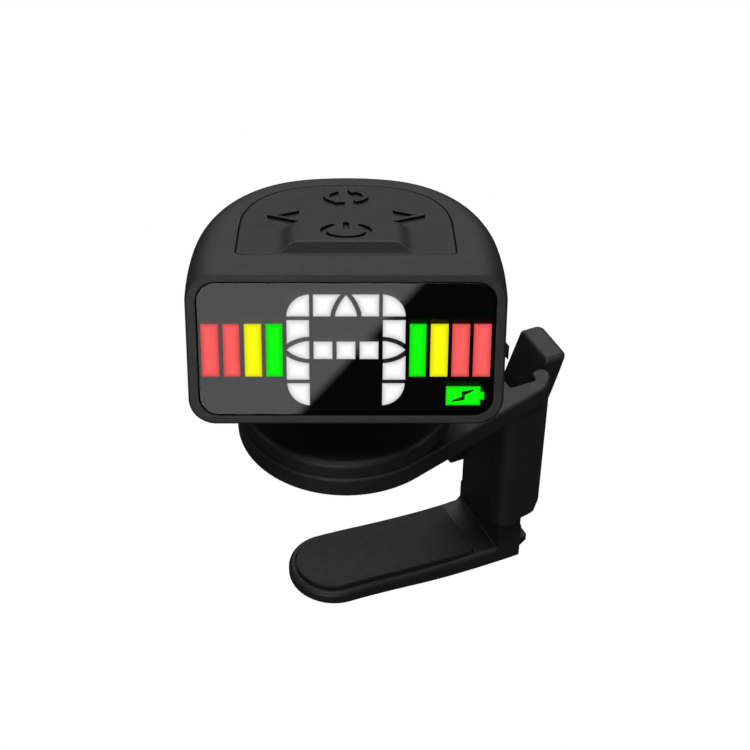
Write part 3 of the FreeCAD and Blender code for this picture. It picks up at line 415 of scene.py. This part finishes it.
def keypad_outline(off, step=0.22):
    """D outline of the keypad, counter-clockwise, offset outwards."""
    half, y0, depth, n = 13.0, 15.0, 30.85, 2.5
    b = depth - y0
    kn = []
    for k in (0.0, 0.45, 0.75, 0.9, 1.0):
        x = half * (1 - k ** n) ** (1 / n) if k < 1 else 0.0
        y = y0 + b * k
        if k == 0:
            t = (0.0, 1.0)
        elif k == 1:
            t = (-1.0, 0.0)
        else:
            gx, gy = (x / half) ** (n - 1) / half, k ** (n - 1) / b
            L = hypot(gx, gy)
            t = (-gy / L, gx / L)
        kn.append(((x + off * t[1], y - off * t[0]), t))
    kn += [((-p[0], p[1]), (t[0], -t[1])) for p, t in reversed(kn[:-1])]
    yf, r, xf = 6.1 - off, 1.0 + off, 13.0 + off
    pts = []
    for i in range(int(26 / step) + 1):
        pts.append((-xf + r + (2 * xf - 2 * r) * i / int(26 / step), yf))
    for i in range(1, 9):
        a = -pi / 2 + pi / 2 * i / 8
        pts.append((xf - r + r * cos(a), yf + r + r * sin(a)))
    m = int(8 / step)
    pts += [(xf, yf + r + (15.0 - yf - r) * i / m) for i in range(1, m + 1)]
    for (p0, t0), (p1, t1) in zip(kn[:-1], kn[1:]):
        v = (p1[0] - p0[0], p1[1] - p0[1])
        k = 2 * (1 - (t0[0] * t1[0] + t0[1] * t1[1]))
        vt, vv = v[0] * (t0[0] + t1[0]) + v[1] * (t0[1] + t1[1]), v[0] ** 2 + v[1] ** 2
        d = vv / (2 * vt) if k < 1e-9 else (-vt + sqrt(vt * vt + k * vv)) / k
        pm = ((p0[0] + d * t0[0] + p1[0] - d * t1[0]) / 2, (p0[1] + d * t0[1] + p1[1] - d * t1[1]) / 2)
        pts += arc_points(p0, t0, pm, step)
        back = [p1] + arc_points(p1, (-t1[0], -t1[1]), pm, step)
        pts += list(reversed(back))[1:]
    pts += [(-xf, 15.0 - (15.0 - yf - r) * i / m) for i in range(1, m + 1)]
    for i in range(1, 8):
        a = pi + pi / 2 * i / 8
        pts.append((-xf + r + r * cos(a), yf + r + r * sin(a)))
    return pts


def side_profile(x):
    a = abs(x)
    if a <= XI:
        return 1.0
    if a >= XO:
        return 0.0
    t = (a - XI) / (XO - XI)
    return 1 - 2 * t * t if t < 0.5 else 2 * (1 - t) ** 2


def smin(a, b, k):
    h = max(k - abs(a - b), 0.0) / k
    return min(a, b) - h * h * k / 4


def rear_y(x):
    return REAR_C + sqrt(REAR_R ** 2 - x * x)


def island(x, y):
    h = side_profile(x) * ISLAND_H
    if h <= 0:
        return 0.0
    f = (y - FOOT_Y) / RUN
    g = (rear_y(x) - y) * 3.2
    if f <= 0 or g <= 0:
        return 0.0
    h = smin(h, f, 0.16 * min(1, h * 3 + 0.05))
    return max(0.0, smin(h, g, 0.2 * min(1, h * 3 + 0.05)))


def ring_sign(cy, ro, ri, q, a0, a1, n=44, head=None):
    """Part of an elliptical ring; with head, an arrow head at its a1 end."""
    def P(r, a):
        return (r * cos(radians(a)), cy + r * q * sin(radians(a)))
    out = [P(ro, a0 + (a1 - a0) * i / n) for i in range(n + 1)]
    if head:
        out += [P(head[0], a1 + 2), P(head[1], a1 + head[3]), P(head[2], a1 - 2)]
    out += [P(ri, a1 + (a0 - a1) * i / n) for i in range(n + 1)]
    return out


def rounded_bar(x0, y0, x1, y1, r_top, r_bot, n=6):
    pts = []
    for cx, cy, r, a in ((x1 - r_top, y1 - r_top, r_top, 0), (x0 + r_top, y1 - r_top, r_top, 90), (x0 + r_bot, y0 + r_bot, r_bot, 180), (x1 - r_bot, y0 + r_bot, r_bot, 270)):
        pts += [(cx + r * cos(radians(a + 90 * i / n)), cy + r * sin(radians(a + 90 * i / n))) for i in range(n + 1)]
    return pts


def turned(poly, cy):
    return [(-x, 2 * cy - y) for x, y in poly]


Q = 0.84
sign_power = [ccw(ring_sign(POWER_Y, 3.11, 2.33, Q, -238, 58)), ccw(rounded_bar(-0.38, 11.75, 0.38, 14.38, 0.34, 0.08))]
arc_a = ring_sign(MODE_Y, 2.86, 2.14, Q, -64, 60, head=(3.28, 2.80, 1.48, 27))
sign_mode = [ccw(arc_a), ccw(turned(arc_a, MODE_Y))]
chev = [(9.78, ARROW_Y), (5.88, ARROW_Y + 2.15), (5.88, ARROW_Y + 1.52), (8.52, ARROW_Y), (5.88, ARROW_Y - 1.52), (5.88, ARROW_Y - 2.15)]
sign_right = [ccw(chev)]
sign_left = [ccw([(-x, y) for x, y in chev])]


def build_keypad():
    r = 0.17
    outline = keypad_outline(0.0)
    n = len(outline)
    steps = 6
    rings = []
    for k in range(steps + 1):
        a = k / steps * pi / 2
        rings.append((offset(outline, -r * (1 - cos(a))), -r * (1 - sin(a)), a))
    holes = [offset(p, 0.035) for p in sign_mode + sign_left + sign_right] + [list(p) for p in sign_power]
    pts = []
    xs = [i * 0.45 for i in range(-12, 13)]
    s = XI - 0.12
    zone = []
    while s < XO + 0.14:
        zone.append(s)
        s += 0.11
    xs = sorted(set([round(x, 4) for x in xs if abs(x) < XI - 0.2] + [round(z, 4) for z in zone] + [round(-z, 4) for z in zone]))
    inner = rings[-1][0]
    hole_test = holes

    def free(x, y):
        return not any(inside(h, x, y) for h in hole_test)
    for i, x in enumerate(xs):
        h = side_profile(x) * ISLAND_H
        yc = FOOT_Y + RUN * h
        ry = rear_y(x)
        ys = [FOOT_Y, FOOT_Y + 0.03]
        ys += [FOOT_Y + (yc - FOOT_Y) * t for t in (0.2, 0.4, 0.6, 0.78)]
        ys += [yc + d for d in (-0.26, -0.18, -0.12, -0.07, -0.02, 0.03, 0.08, 0.14, 0.2, 0.3, 0.45)]
        y = yc + 0.9
        while y < ry - 0.7:
            ys.append(y)
            y += 0.75
        ys += [ry + d for d in (-0.55, -0.45, -0.38, -0.33, -0.28, -0.23, -0.17, -0.1, -0.04, 0.0, 0.06)]
        last = 0
        for y in sorted(ys):
            if y >= FOOT_Y and y - last > 0.012 and free(x, y):
                pts.append((x, y))
                last = y
    for i in range(-11, 12):
        for j in range(0, 22):
            x, y = i * 1.1 + (0.37 if j % 2 else 0.0), 7.3 + j * 1.1
            if (abs(x) > XO + 0.5 or y > 17.0) and inside(offset(inner, -0.3), x, y) and free(x, y):
                pts.append((x, y))
    loops = [rg[0] for rg in rings] + holes
    v2, tris = triangulate(loops, pts)
    ring_z = {}
    for pl, z, a in rings:
        for p in pl:
            ring_z[(round(p[0], 4), round(p[1], 4))] = (z, a)
    keep = []
    for t in tris:
        cx = sum(v2[i][0] for i in t) / 3
        cy = sum(v2[i][1] for i in t) / 3
        if inside(outline, cx, cy) and not any(inside(h, cx, cy) for h in holes):
            keep.append(t)
    dist = edge_dist(outline, v2)
    zs = []
    for (x, y), d in zip(v2, dist):
        if d >= r - 1e-4:
            zs.append(PT + island(x, y))
        else:
            zs.append(PT - r + sqrt(max(0.0, r * r - (r - d) ** 2)))
    # normals from the height function
    nrm = []
    O = np.array(outline)
    for (x, y), d in zip(v2, dist):
        if d < r - 1e-4:
            i = int(np.argmin(((O - (x, y)) ** 2).sum(1)))
            p0, p1 = O[i - 1], O[(i + 1) % n]
            tx, ty = p1 - p0
            L = hypot(tx, ty)
            c = (r - d) / r
            nrm.append((ty / L * c, -tx / L * c, sqrt(max(0.0, 1 - c * c))))
        else:
            e = 0.012
            gx = (island(x + e, y) - island(x - e, y)) / (2 * e)
            gy = (island(x, y + e) - island(x, y - e)) / (2 * e)
            nrm.append((-gx, -gy, 1.0))
    verts = [(x, y, z) for (x, y), z in zip(v2, zs)]
    faces = [t if area([v2[i] for i in t]) > 0 else tuple(reversed(t)) for t in keep]
    index = {(round(x, 4), round(y, 4)): i for i, (x, y) in enumerate(v2)}

    def wall(loop, drop, out):
        """A wall down from a loop; out says that the solid is inside the loop."""
        k = len(verts)
        m = len(loop)
        top = []
        for i, p in enumerate(loop):
            j = index.get((round(p[0], 4), round(p[1], 4)))
            z = verts[j][2] if j is not None else PT
            p0, p1 = loop[i - 1], loop[(i + 1) % m]
            tx, ty = p1[0] - p0[0], p1[1] - p0[1]
            L = hypot(tx, ty) or 1
            sgn = 1 if out else -1
            nn = (sgn * ty / L, -sgn * tx / L, 0.0)
            verts.append((p[0], p[1], z))
            nrm.append(nn)
            top.append(z)
        for i, p in enumerate(loop):
            verts.append((p[0], p[1], top[i] - drop))
            nrm.append(nrm[k + i])
        for i in range(m):
            a, b, c, d = k + i, k + (i + 1) % m, k + m + (i + 1) % m, k + m + i
            faces.append((a, d, c, b) if out else (a, b, c, d))
    top_count = len(faces)
    wall(outline, 2.3, True)
    for h in holes:
        wall(h, 0.95, False)
    ob = make("keypad_pad", verts, faces, "head", SILICONE, HEADP, normals=nrm)
    # the pad's outer side walls and the walls of the sign holes take the painted-shade material
    ob.data.materials.append(PAINTED_SHADE_WALL)
    for p in ob.data.polygons[top_count:]:
        p.material_index = 1
    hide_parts("keypad")
    return ob


pad = build_keypad()


def sign_pieces(base, polys, top, bottom, body, node, grow=0.0, bevel=0.05):
    vs, fs = [], []
    for p in polys:
        v, f = slab(offset(p, grow) if grow else p, top, bottom, bevel)
        k = len(vs)
        vs += v
        fs += [tuple(i + k for i in face) for face in f]
    ob = make(base, vs, fs, body, SILICONE, HEADP, angle=35)
    # the steep side faces of the signs take the painted-shade material
    ob.data.materials.append(PAINTED_SHADE_WALL)
    up = (HEADP.to_3x3() @ Vector((0, 0, 1))).normalized()
    for p in ob.data.polygons:
        if abs(p.normal.dot(up)) < 0.3:
            p.material_index = 1
    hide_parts(node)
    return ob


sign_pieces("sign_power", [offset(p, -0.03) for p in sign_power], PT + ISLAND_H - SIGN_DEEP, PT - 0.7, "power_button", "power_key", bevel=0.02)
sign_pieces("sign_mode", sign_mode, PT + SIGN_PROUD, PT - 0.7, "mode_button", "mode_key")
sign_pieces("sign_left", sign_left, PT + SIGN_PROUD, PT - 0.7, "left_button", "left_key")
sign_pieces("sign_right", sign_right, PT + SIGN_PROUD, PT - 0.7, "right_button", "right_key")

# ---------------------------------------------------------------- display segments, lit films on the window's face
KX, KZ, SHIFT = 0.993, 0.991, 0.053
RED = lit("segment_red", (0.62, 0.062, 0.060), (0.99, 0.118, 0.115), 1.0)
YELLOW = lit("segment_yellow", (0.68, 0.66, 0.0), (1.0, 1.0, 0.0), 1.0)
GREEN = lit("segment_green", (0.0, 0.66, 0.0), (0.0, 1.0, 0.0), 1.0)
WHITE = lit("segment_white", (0.58, 0.58, 0.58), (1.0, 1.0, 1.0), 1.0)


def plate(name, poly, mat, reach, holes=(), gap=0.24, shrink=0.075):
    """A thin lit plate in the display's plane; poly is (x, z) seen from the front."""
    poly = offset(ccw([(x * KX, z * KZ + SHIFT) for x, z in poly]), -shrink)
    holes = [ccw([(x * KX, z * KZ + SHIFT) for x, z in h]) for h in holes]
    dense = []
    for a, b in zip(poly, poly[1:] + poly[:1]):
        m = max(1, int(hypot(b[0] - a[0], b[1] - a[1]) / gap))
        dense += [(a[0] + (b[0] - a[0]) * i / m, a[1] + (b[1] - a[1]) * i / m) for i in range(m)]
    x0, x1 = min(p[0] for p in poly), max(p[0] for p in poly)
    z0, z1 = min(p[1] for p in poly), max(p[1] for p in poly)
    pts = []
    nx, nz = max(2, int((x1 - x0) / gap)), max(2, int((z1 - z0) / gap))
    for i in range(1, nx):
        for j in range(1, nz):
            x, z = x0 + (x1 - x0) * i / nx, z0 + (z1 - z0) * j / nz
            if inside(offset(poly, -0.06), x, z) and not any(inside(h, x, z) for h in holes):
                pts.append((x, z))
    v2, tris = triangulate([dense] + holes, pts)
    tris = [t for t in tris if inside(dense, sum(v2[i][0] for i in t) / 3, sum(v2[i][1] for i in t) / 3)
            and not any(inside(h, sum(v2[i][0] for i in t) / 3, sum(v2[i][1] for i in t) / 3) for h in holes)]
    tris = [t if area([v2[i] for i in t]) > 0 else tuple(reversed(t)) for t in tris]
    n = len(v2)
    verts = [(x, 0.104, z) for x, z in v2] + [(x, 0.114, z) for x, z in v2]
    faces = list(tris) + [tuple(i + n for i in reversed(t)) for t in tris]
    edges = {}
    for t in tris:
        for a, b in zip(t, t[1:] + t[:1]):
            edges[(a, b)] = 1
    faces += [(b, a, a + n, b + n) for a, b in edges if (b, a) not in edges]
    ob = make(name, verts, faces, "head", mat, HEADP, smooth=False)
    d = edge_dist(dense, v2)
    val = np.clip(d / reach, 0, 1)
    val = val * (2 - val)
    at = ob.data.attributes.new("lit", "FLOAT", "POINT")
    at.data.foreach_set("value", np.concatenate([val, val]).astype(np.float32))
    return ob


def quarter(cx, cz, r, a0, a1, n=12):
    return [(cx + r * cos(radians(a0 + (a1 - a0) * i / n)), cz + r * sin(radians(a0 + (a1 - a0) * i / n))) for i in range(n + 1)]


def box2(x0, z0, x1, z1):
    return [(x0, z0), (x1, z0), (x1, z1), (x0, z1)]


BARS = [(-17.04, -14.82, RED), (-14.47, -12.37, RED), (-11.96, -9.80, YELLOW), (-9.45, -7.35, GREEN),
        (7.35, 9.45, GREEN), (9.80, 12.02, YELLOW), (12.31, 14.53, RED), (14.82, 17.04, RED)]
for i, (x0, x1, mt) in enumerate(BARS):
    plate(f"segment_bar_{i + 1}", box2(x0, -3.53, x1, 3.40), mt, 0.85)


def rounded_box(hx, z0, z1, r, n=8):
    pts = []
    for cx, cz, a in ((hx - r, z1 - r, 0), (-hx + r, z1 - r, 90), (-hx + r, z0 + r, 180), (hx - r, z0 + r, 270)):
        pts += [(cx + r * cos(radians(a + 90 * i / n)), cz + r * sin(radians(a + 90 * i / n))) for i in range(n + 1)]
    return pts


# black ink round the window's back edge, and its dark cut edges
o1, i1 = rounded_box(17.22, -8.38, 8.47, 2.25), rounded_box(16.92, -8.06, 8.14, 1.95)
m = len(o1)
ink_v = [(x, y, z) for y in (1.07, 1.09) for lp in (o1, i1) for x, z in lp]
ink_f = []
for i in range(m):
    j = (i + 1) % m
    ink_f += [(i, j, m + j, m + i), (2 * m + i, 3 * m + i, 3 * m + j, 2 * m + j), (i, 2 * m + i, 2 * m + j, j), (m + i, m + j, 3 * m + j, 3 * m + i)]
make("window_ink", ink_v, ink_f, "head", PANEL, HEADP, smooth=False)
o2, i2 = rounded_box(17.262, -8.422, 8.512, 2.29), rounded_box(17.235, -8.395, 8.485, 2.26)
edge_v = [(x, y, z) for y in (0.19, 1.06) for lp in (o2, i2) for x, z in lp]
make("window_edge_ink", edge_v, ink_f, "head", PANEL, HEADP, smooth=False)


def mirrored(poly):
    return [(-x, z) for x, z in poly]


# the note character: a big square-shouldered letter shape of 20 segments
CH = {}
CH["top_left"] = [(-4.19, 4.2), (-7.0, 4.2)] + [(-4.19 + 2.81 * cos(radians(a)), 4.2 + 2.90 * sin(radians(a))) for a in range(176, 90, -6)] + [(-4.19, 7.1)]
CH["top_inner_left"] = [(-3.9, 7.1), (-3.9, 4.2), (-1.76, 4.2), (-1.68, 4.8), (-1.48, 5.4), (-1.18, 6.05), (-0.84, 6.62), (-0.46, 7.1)]
CH["up_left"] = [(-7.0, 3.88), (-7.0, 0.62), (-6.45, 1.0), (-5.9, 1.26), (-5.3, 1.46), (-4.7, 1.58), (-4.22, 1.62), (-4.22, 3.88)]
CH["mid_point_left"] = [(-7.08, 0.0), (-6.55, 0.45), (-6.0, 0.78), (-5.4, 1.02), (-4.8, 1.17), (-4.22, 1.22), (-4.22, -1.26), (-4.8, -1.21), (-5.4, -1.06), (-6.0, -0.81), (-6.55, -0.46)]
CH["mid_bar_left"] = box2(-3.87, -1.25, -1.52, 1.14)
CH["low_left"] = [(-7.06, -3.93), (-7.06, -0.62), (-6.5, -1.02), (-5.9, -1.3), (-5.3, -1.49), (-4.7, -1.61), (-4.25, -1.65), (-4.25, -3.93)]
CH["bottom_left"] = [(-4.21, -4.26), (-7.0, -4.26)] + [(-4.21 + 2.79 * cos(radians(a)), -4.26 + 3.04 * sin(radians(a))) for a in range(184, 270, 6)] + [(-4.21, -7.3)]
for k, p in list(CH.items()):
    plate("segment_note_" + k, p, WHITE, 0.95)
    plate("segment_note_" + k.replace("left", "right"), mirrored(p), WHITE, 0.95)
plate("segment_note_top_centre", [(-1.36, 4.2), (1.36, 4.2), (1.28, 4.75), (1.08, 5.35), (0.78, 5.98), (0.42, 6.56), (0.0, 7.06), (-0.42, 6.56), (-0.78, 5.98), (-1.08, 5.35), (-1.28, 4.75)], WHITE, 0.95)
plate("segment_note_mid_centre", box2(-1.17, -1.25, 1.17, 1.14), WHITE, 0.95)
bolt = [(12.50, -6.78), (12.62, -6.60), (13.76, -6.05), (13.68, -5.46), (14.02, -5.36), (15.08, -5.14), (15.22, -5.24), (14.06, -5.90), (14.06, -6.48), (13.68, -6.60)]
plate("segment_battery", [(11.75, -7.3), (16.0, -7.3), (16.0, -6.57), (16.45, -6.57), (16.45, -5.38), (16.0, -5.38), (16.0, -4.65), (11.75, -4.65)], GREEN, 0.5, holes=[bolt])


# ---------------------------------------------------------------- rubber jaw pads
def round_slab(name, outline, surface, underside, r, body, node, spacing, crown=0.0, extra=None, flip=False):
    """A rubber pad over a plan outline: rounded edge, crowned face. surface(x, y) gives the face, underside(x, y) the back."""
    outline = ccw(outline)
    rings = [offset(outline, -r * (1 - cos(k / 6 * pi / 2))) for k in range(7)]
    inner = offset(rings[-1], -spacing * 0.5)
    x0, x1 = min(p[0] for p in outline), max(p[0] for p in outline)
    y0, y1 = min(p[1] for p in outline), max(p[1] for p in outline)
    pts = []
    nx, ny = int((x1 - x0) / spacing), int((y1 - y0) / spacing)
    for i in range(nx + 1):
        for j in range(ny + 1):
            x, y = x0 + (x1 - x0) * i / nx, y0 + (y1 - y0) * (j + 0.5 * (i % 2)) / ny
            if inside(inner, x, y):
                pts.append((x, y))
    v2, tris = triangulate(rings, pts)
    tris = [t for t in tris if inside(outline, sum(v2[i][0] for i in t) / 3, sum(v2[i][1] for i in t) / 3)]
    tris = [t if area([v2[i] for i in t]) > 0 else tuple(reversed(t)) for t in tris]
    d = edge_dist(outline, v2)
    dmax = float(d.max())
    sg = -1 if flip else 1
    verts = []
    for (x, y), e in zip(v2, d):
        z = surface(x, y) + sg * crown * (1 - (1 - min(1.0, e / dmax)) ** 2.2)
        if e < r:
            z -= sg * (r - sqrt(max(0.0, r * r - (r - e) ** 2)))
        if extra:
            z += sg * extra(x, y, e)
        verts.append((x, y, z))
    n = len(verts)
    m = len(outline)
    faces = [tuple(reversed(t)) if flip else t for t in tris]
    lookup = {(round(x, 4), round(y, 4)): i for i, (x, y) in enumerate(v2)}
    loop = [lookup.get((round(x, 4), round(y, 4))) for x, y in outline]
    loop = [i for i in loop if i is not None]
    m = len(loop)
    for i in loop:
        x, y = v2[i]
        verts.append((x, y, underside(x, y)))
    for i in range(m):
        a, b, c, e = loop[i], loop[(i + 1) % m], n + (i + 1) % m, n + i
        faces.append((a, b, c, e) if flip else (a, e, c, b))
    faces.append(tuple(n + i for i in range(m)) if flip else tuple(n + i for i in reversed(range(m))))
    ob = make(name, verts, faces, body, RUBBER, ROW, angle=50)
    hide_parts(node)
    return ob


# the lower pad follows the arm: its face height is read from the CAD pad
co = np.array([v.co for v in NODES["lower_jaw_pad"].data.vertices]) / MM
topz = {}
for x, y, z in co:
    if abs(y) < 5.0:
        k = round(x * 2) / 2
        topz[k] = max(topz.get(k, -99), z)
ks = np.array(sorted(topz))
fit = np.polyfit(ks, [topz[k] for k in ks], 5)
for _ in range(2):
    res = np.array([topz[k] for k in ks]) - np.polyval(fit, ks)
    good = res > -0.03
    fit = np.polyfit(ks[good], np.array([topz[k] for k in ks])[good], 5)
lo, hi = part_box("lower_jaw_pad")
HALF, X1, TIPX = 5.08, hi.x / MM - 0.12, -2.2
pl = [(X1 - 0.5 + 0.5 * cos(radians(a)), HALF - 0.5 + 0.5 * sin(radians(a))) for a in range(0, 91, 15)]
pl += [(X1 - 0.5 - (X1 - 0.5 - TIPX) * i / 60, HALF) for i in range(1, 60)]
pl += [(TIPX + HALF * cos(radians(a)), HALF * sin(radians(a))) for a in range(90, 271, 3)]
pl += [(TIPX + (X1 - 0.5 - TIPX) * i / 60, -HALF) for i in range(1, 60)]
pl += [(X1 - 0.5 + 0.5 * cos(radians(a)), -HALF + 0.5 + 0.5 * sin(radians(a))) for a in range(-90, 1, 15)]
pl += [(X1, -HALF + 0.5 + (2 * HALF - 1) * i / 24) for i in range(1, 24)]
round_slab("pad_lower", pl, lambda x, y: float(np.polyval(fit, x)) + 0.12, lambda x, y: float(np.polyval(fit, x)) - 0.93, 0.11, "jaw", "lower_jaw_pad", 0.55, crown=0.03)

lo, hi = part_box("upper_jaw_pad")
RU = hi.x / MM - 0.0
cxu = (lo.x + hi.x) / 2 / MM


def rings_groove(x, y, e):
    """Two shallow grip grooves round the pad's face."""
    g = 0.0
    for c in (1.9, 3.9, 5.9):
        t = abs(e - c) / 0.28
        if t < 1:
            g -= 0.22 * (1 + cos(pi * t)) / 2
    return g


circ = [(cxu + RU * cos(radians(a)), RU * sin(radians(a))) for a in range(0, 360, 2)]
round_slab("pad_upper", circ, lambda x, y: 0.03, lambda x, y: hi.z / MM - 0.03, 0.45, "clamp", "upper_jaw_pad", 0.34, crown=0.03, extra=rings_groove, flip=True)

# ---------------------------------------------------------------- camera, floor, light
cam = bpy.data.objects.new("camera", bpy.data.cameras.new("camera"))
bpy.context.scene.collection.objects.link(cam)
cam.location = (-0.07023, -0.15339, 0.15332)
cam.rotation_euler = (radians(49.44), 0, radians(-24.6))
cam.data.lens = 82.13
cam.data.sensor_width = 36
cam.data.shift_x = 0.0387
cam.data.clip_start, cam.data.clip_end = 0.01, 20
bpy.context.scene.camera = cam


def glow(name, colour, strength):
    m = bpy.data.materials.new(name)
    m.use_nodes = True
    nt = m.node_tree
    nt.nodes.clear()
    out = nt.nodes.new("ShaderNodeOutputMaterial")
    e = nt.nodes.new("ShaderNodeEmission")
    e.inputs["Color"].default_value = (*colour, 1)
    e.inputs["Strength"].default_value = strength
    nt.links.new(e.outputs[0], out.inputs["Surface"])
    return m


def staged(name, verts, faces, mat, seen_by):
    me = bpy.data.meshes.new(name)
    me.from_pydata(verts, [], faces)
    ob = bpy.data.objects.new(name, me)
    me.materials.append(mat)
    bpy.context.scene.collection.objects.link(ob)
    for k in ("camera", "diffuse", "glossy", "transmission", "volume_scatter", "shadow"):
        setattr(ob, "visible_" + k, k in seen_by)
    return ob


PALE = glow("pale_floor", (1, 1, 1), 1.0)
N = 64
floor = [(2.9 * cos(2 * pi * i / N), 2.9 * sin(2 * pi * i / N), -0.16) for i in range(N)]
staged("floor", floor, [tuple(range(N))], PALE, ("camera",))
dome_v, dome_f = [], []
for j in range(17):
    el = -pi / 2 + pi * j / 16
    for i in range(32):
        az = 2 * pi * i / 32
        dome_v.append((3 * cos(el) * cos(az), 3 * cos(el) * sin(az), 3 * sin(el)))
for j in range(16):
    for i in range(32):
        dome_f.append((j * 32 + i, j * 32 + (i + 1) % 32, (j + 1) * 32 + (i + 1) % 32, (j + 1) * 32 + i))
staged("backdrop", dome_v, dome_f, PALE, ("camera",))


def softbox(name, at, look, w, h, power, colour=(1, 1, 1)):
    li = bpy.data.lights.new(name, "AREA")
    li.shape = "RECTANGLE"
    li.size, li.size_y = w, h
    li.energy = power
    li.color = colour
    ob = bpy.data.objects.new(name, li)
    p, q = VIEW @ Vector(at), VIEW @ Vector(look)
    ob.location = p
    ob.rotation_euler = (q - p).to_track_quat("-Z", "Y").to_euler()
    ob.visible_camera = False
    bpy.context.scene.collection.objects.link(ob)
    return ob


# a wide low panel and a higher box behind, a weak box overhead in front, and small sides
softbox("panel_back", (0.0, 0.80, 0.20), (0, 0, 0.02), 0.90, 0.30, 0.42)
softbox("box_back", (0.0, 0.50, 0.46), (0, 0, 0), 0.50, 0.22, 0.9)
softbox("box_top", (0.0, -0.22, 0.60), (0, 0, 0), 0.50, 0.30, 1.7)
softbox("box_side_right", (0.60, -0.05, 0.40), (0, 0, 0.02), 0.30, 0.30, 0.30)
softbox("box_side_left", (-0.60, -0.02, 0.36), (0, 0, 0.02), 0.30, 0.30, 0.20)
softbox("box_fill", (0.0, -0.80, 0.24), (0, 0, 0), 0.60, 0.15, 0.35)

# the reflecting card in front: placed from the window's mirror directions, so that its slanting edge crosses the glass
C = cam.location.copy()
nv = (HEADP.to_3x3() @ Vector((0, -1, 0))).normalized()


def mirror_point(x, z, dist):
    p = (HEADP @ Vector((x, 0.12, z))) * MM
    d = (p - C).normalized()
    return p + (d - 2 * d.dot(nv) * nv) * dist


CARD_D = 0.34
ea, eb = (8.7, 8.6), (-5.8, -8.5)
far = 1.9
top_pt = (ea[0] + (ea[0] - eb[0]) * far, ea[1] + (ea[1] - eb[1]) * far)
bot_pt = (eb[0] + (eb[0] - ea[0]) * 1.2, eb[1] + (eb[1] - ea[1]) * 1.2)
SOFT = 0.75
corners = [mirror_point(top_pt[0] - SOFT, top_pt[1], CARD_D), mirror_point(top_pt[0] + SOFT, top_pt[1], CARD_D),
           mirror_point(bot_pt[0] - SOFT, bot_pt[1], CARD_D), mirror_point(bot_pt[0] + SOFT, bot_pt[1], CARD_D),
           mirror_point(-78, bot_pt[1], CARD_D), mirror_point(-78, top_pt[1], CARD_D)]
CARD = glow("card", (1, 1, 1), 1.95)
nt = CARD.node_tree
fade = nt.nodes.new("ShaderNodeAttribute")
fade.attribute_name = "fade"
gain = nt.nodes.new("ShaderNodeMath")
gain.operation = "MULTIPLY"
gain.inputs[1].default_value = 1.95
nt.links.new(fade.outputs["Fac"], gain.inputs[0])
nt.links.new(gain.outputs[0], nt.nodes["Emission"].inputs["Strength"])
card = staged("card", [tuple(c) for c in corners], [(0, 1, 3, 2), (0, 2, 4, 5)], CARD, ("glossy",))
card.data.attributes.new("fade", "FLOAT", "POINT").data.foreach_set("value", [1.0, 0.0, 1.0, 0.0, 1.0, 1.0])

world = bpy.data.worlds.new("studio")
world.use_nodes = True
bg = world.node_tree.nodes["Background"]
bg.inputs["Color"].default_value = (1, 1, 1, 1)
bg.inputs["Strength"].default_value = 0.03
bpy.context.scene.world = world
bpy.context.scene.view_settings.view_transform = "Standard"
bpy.context.scene.view_settings.look = "None"
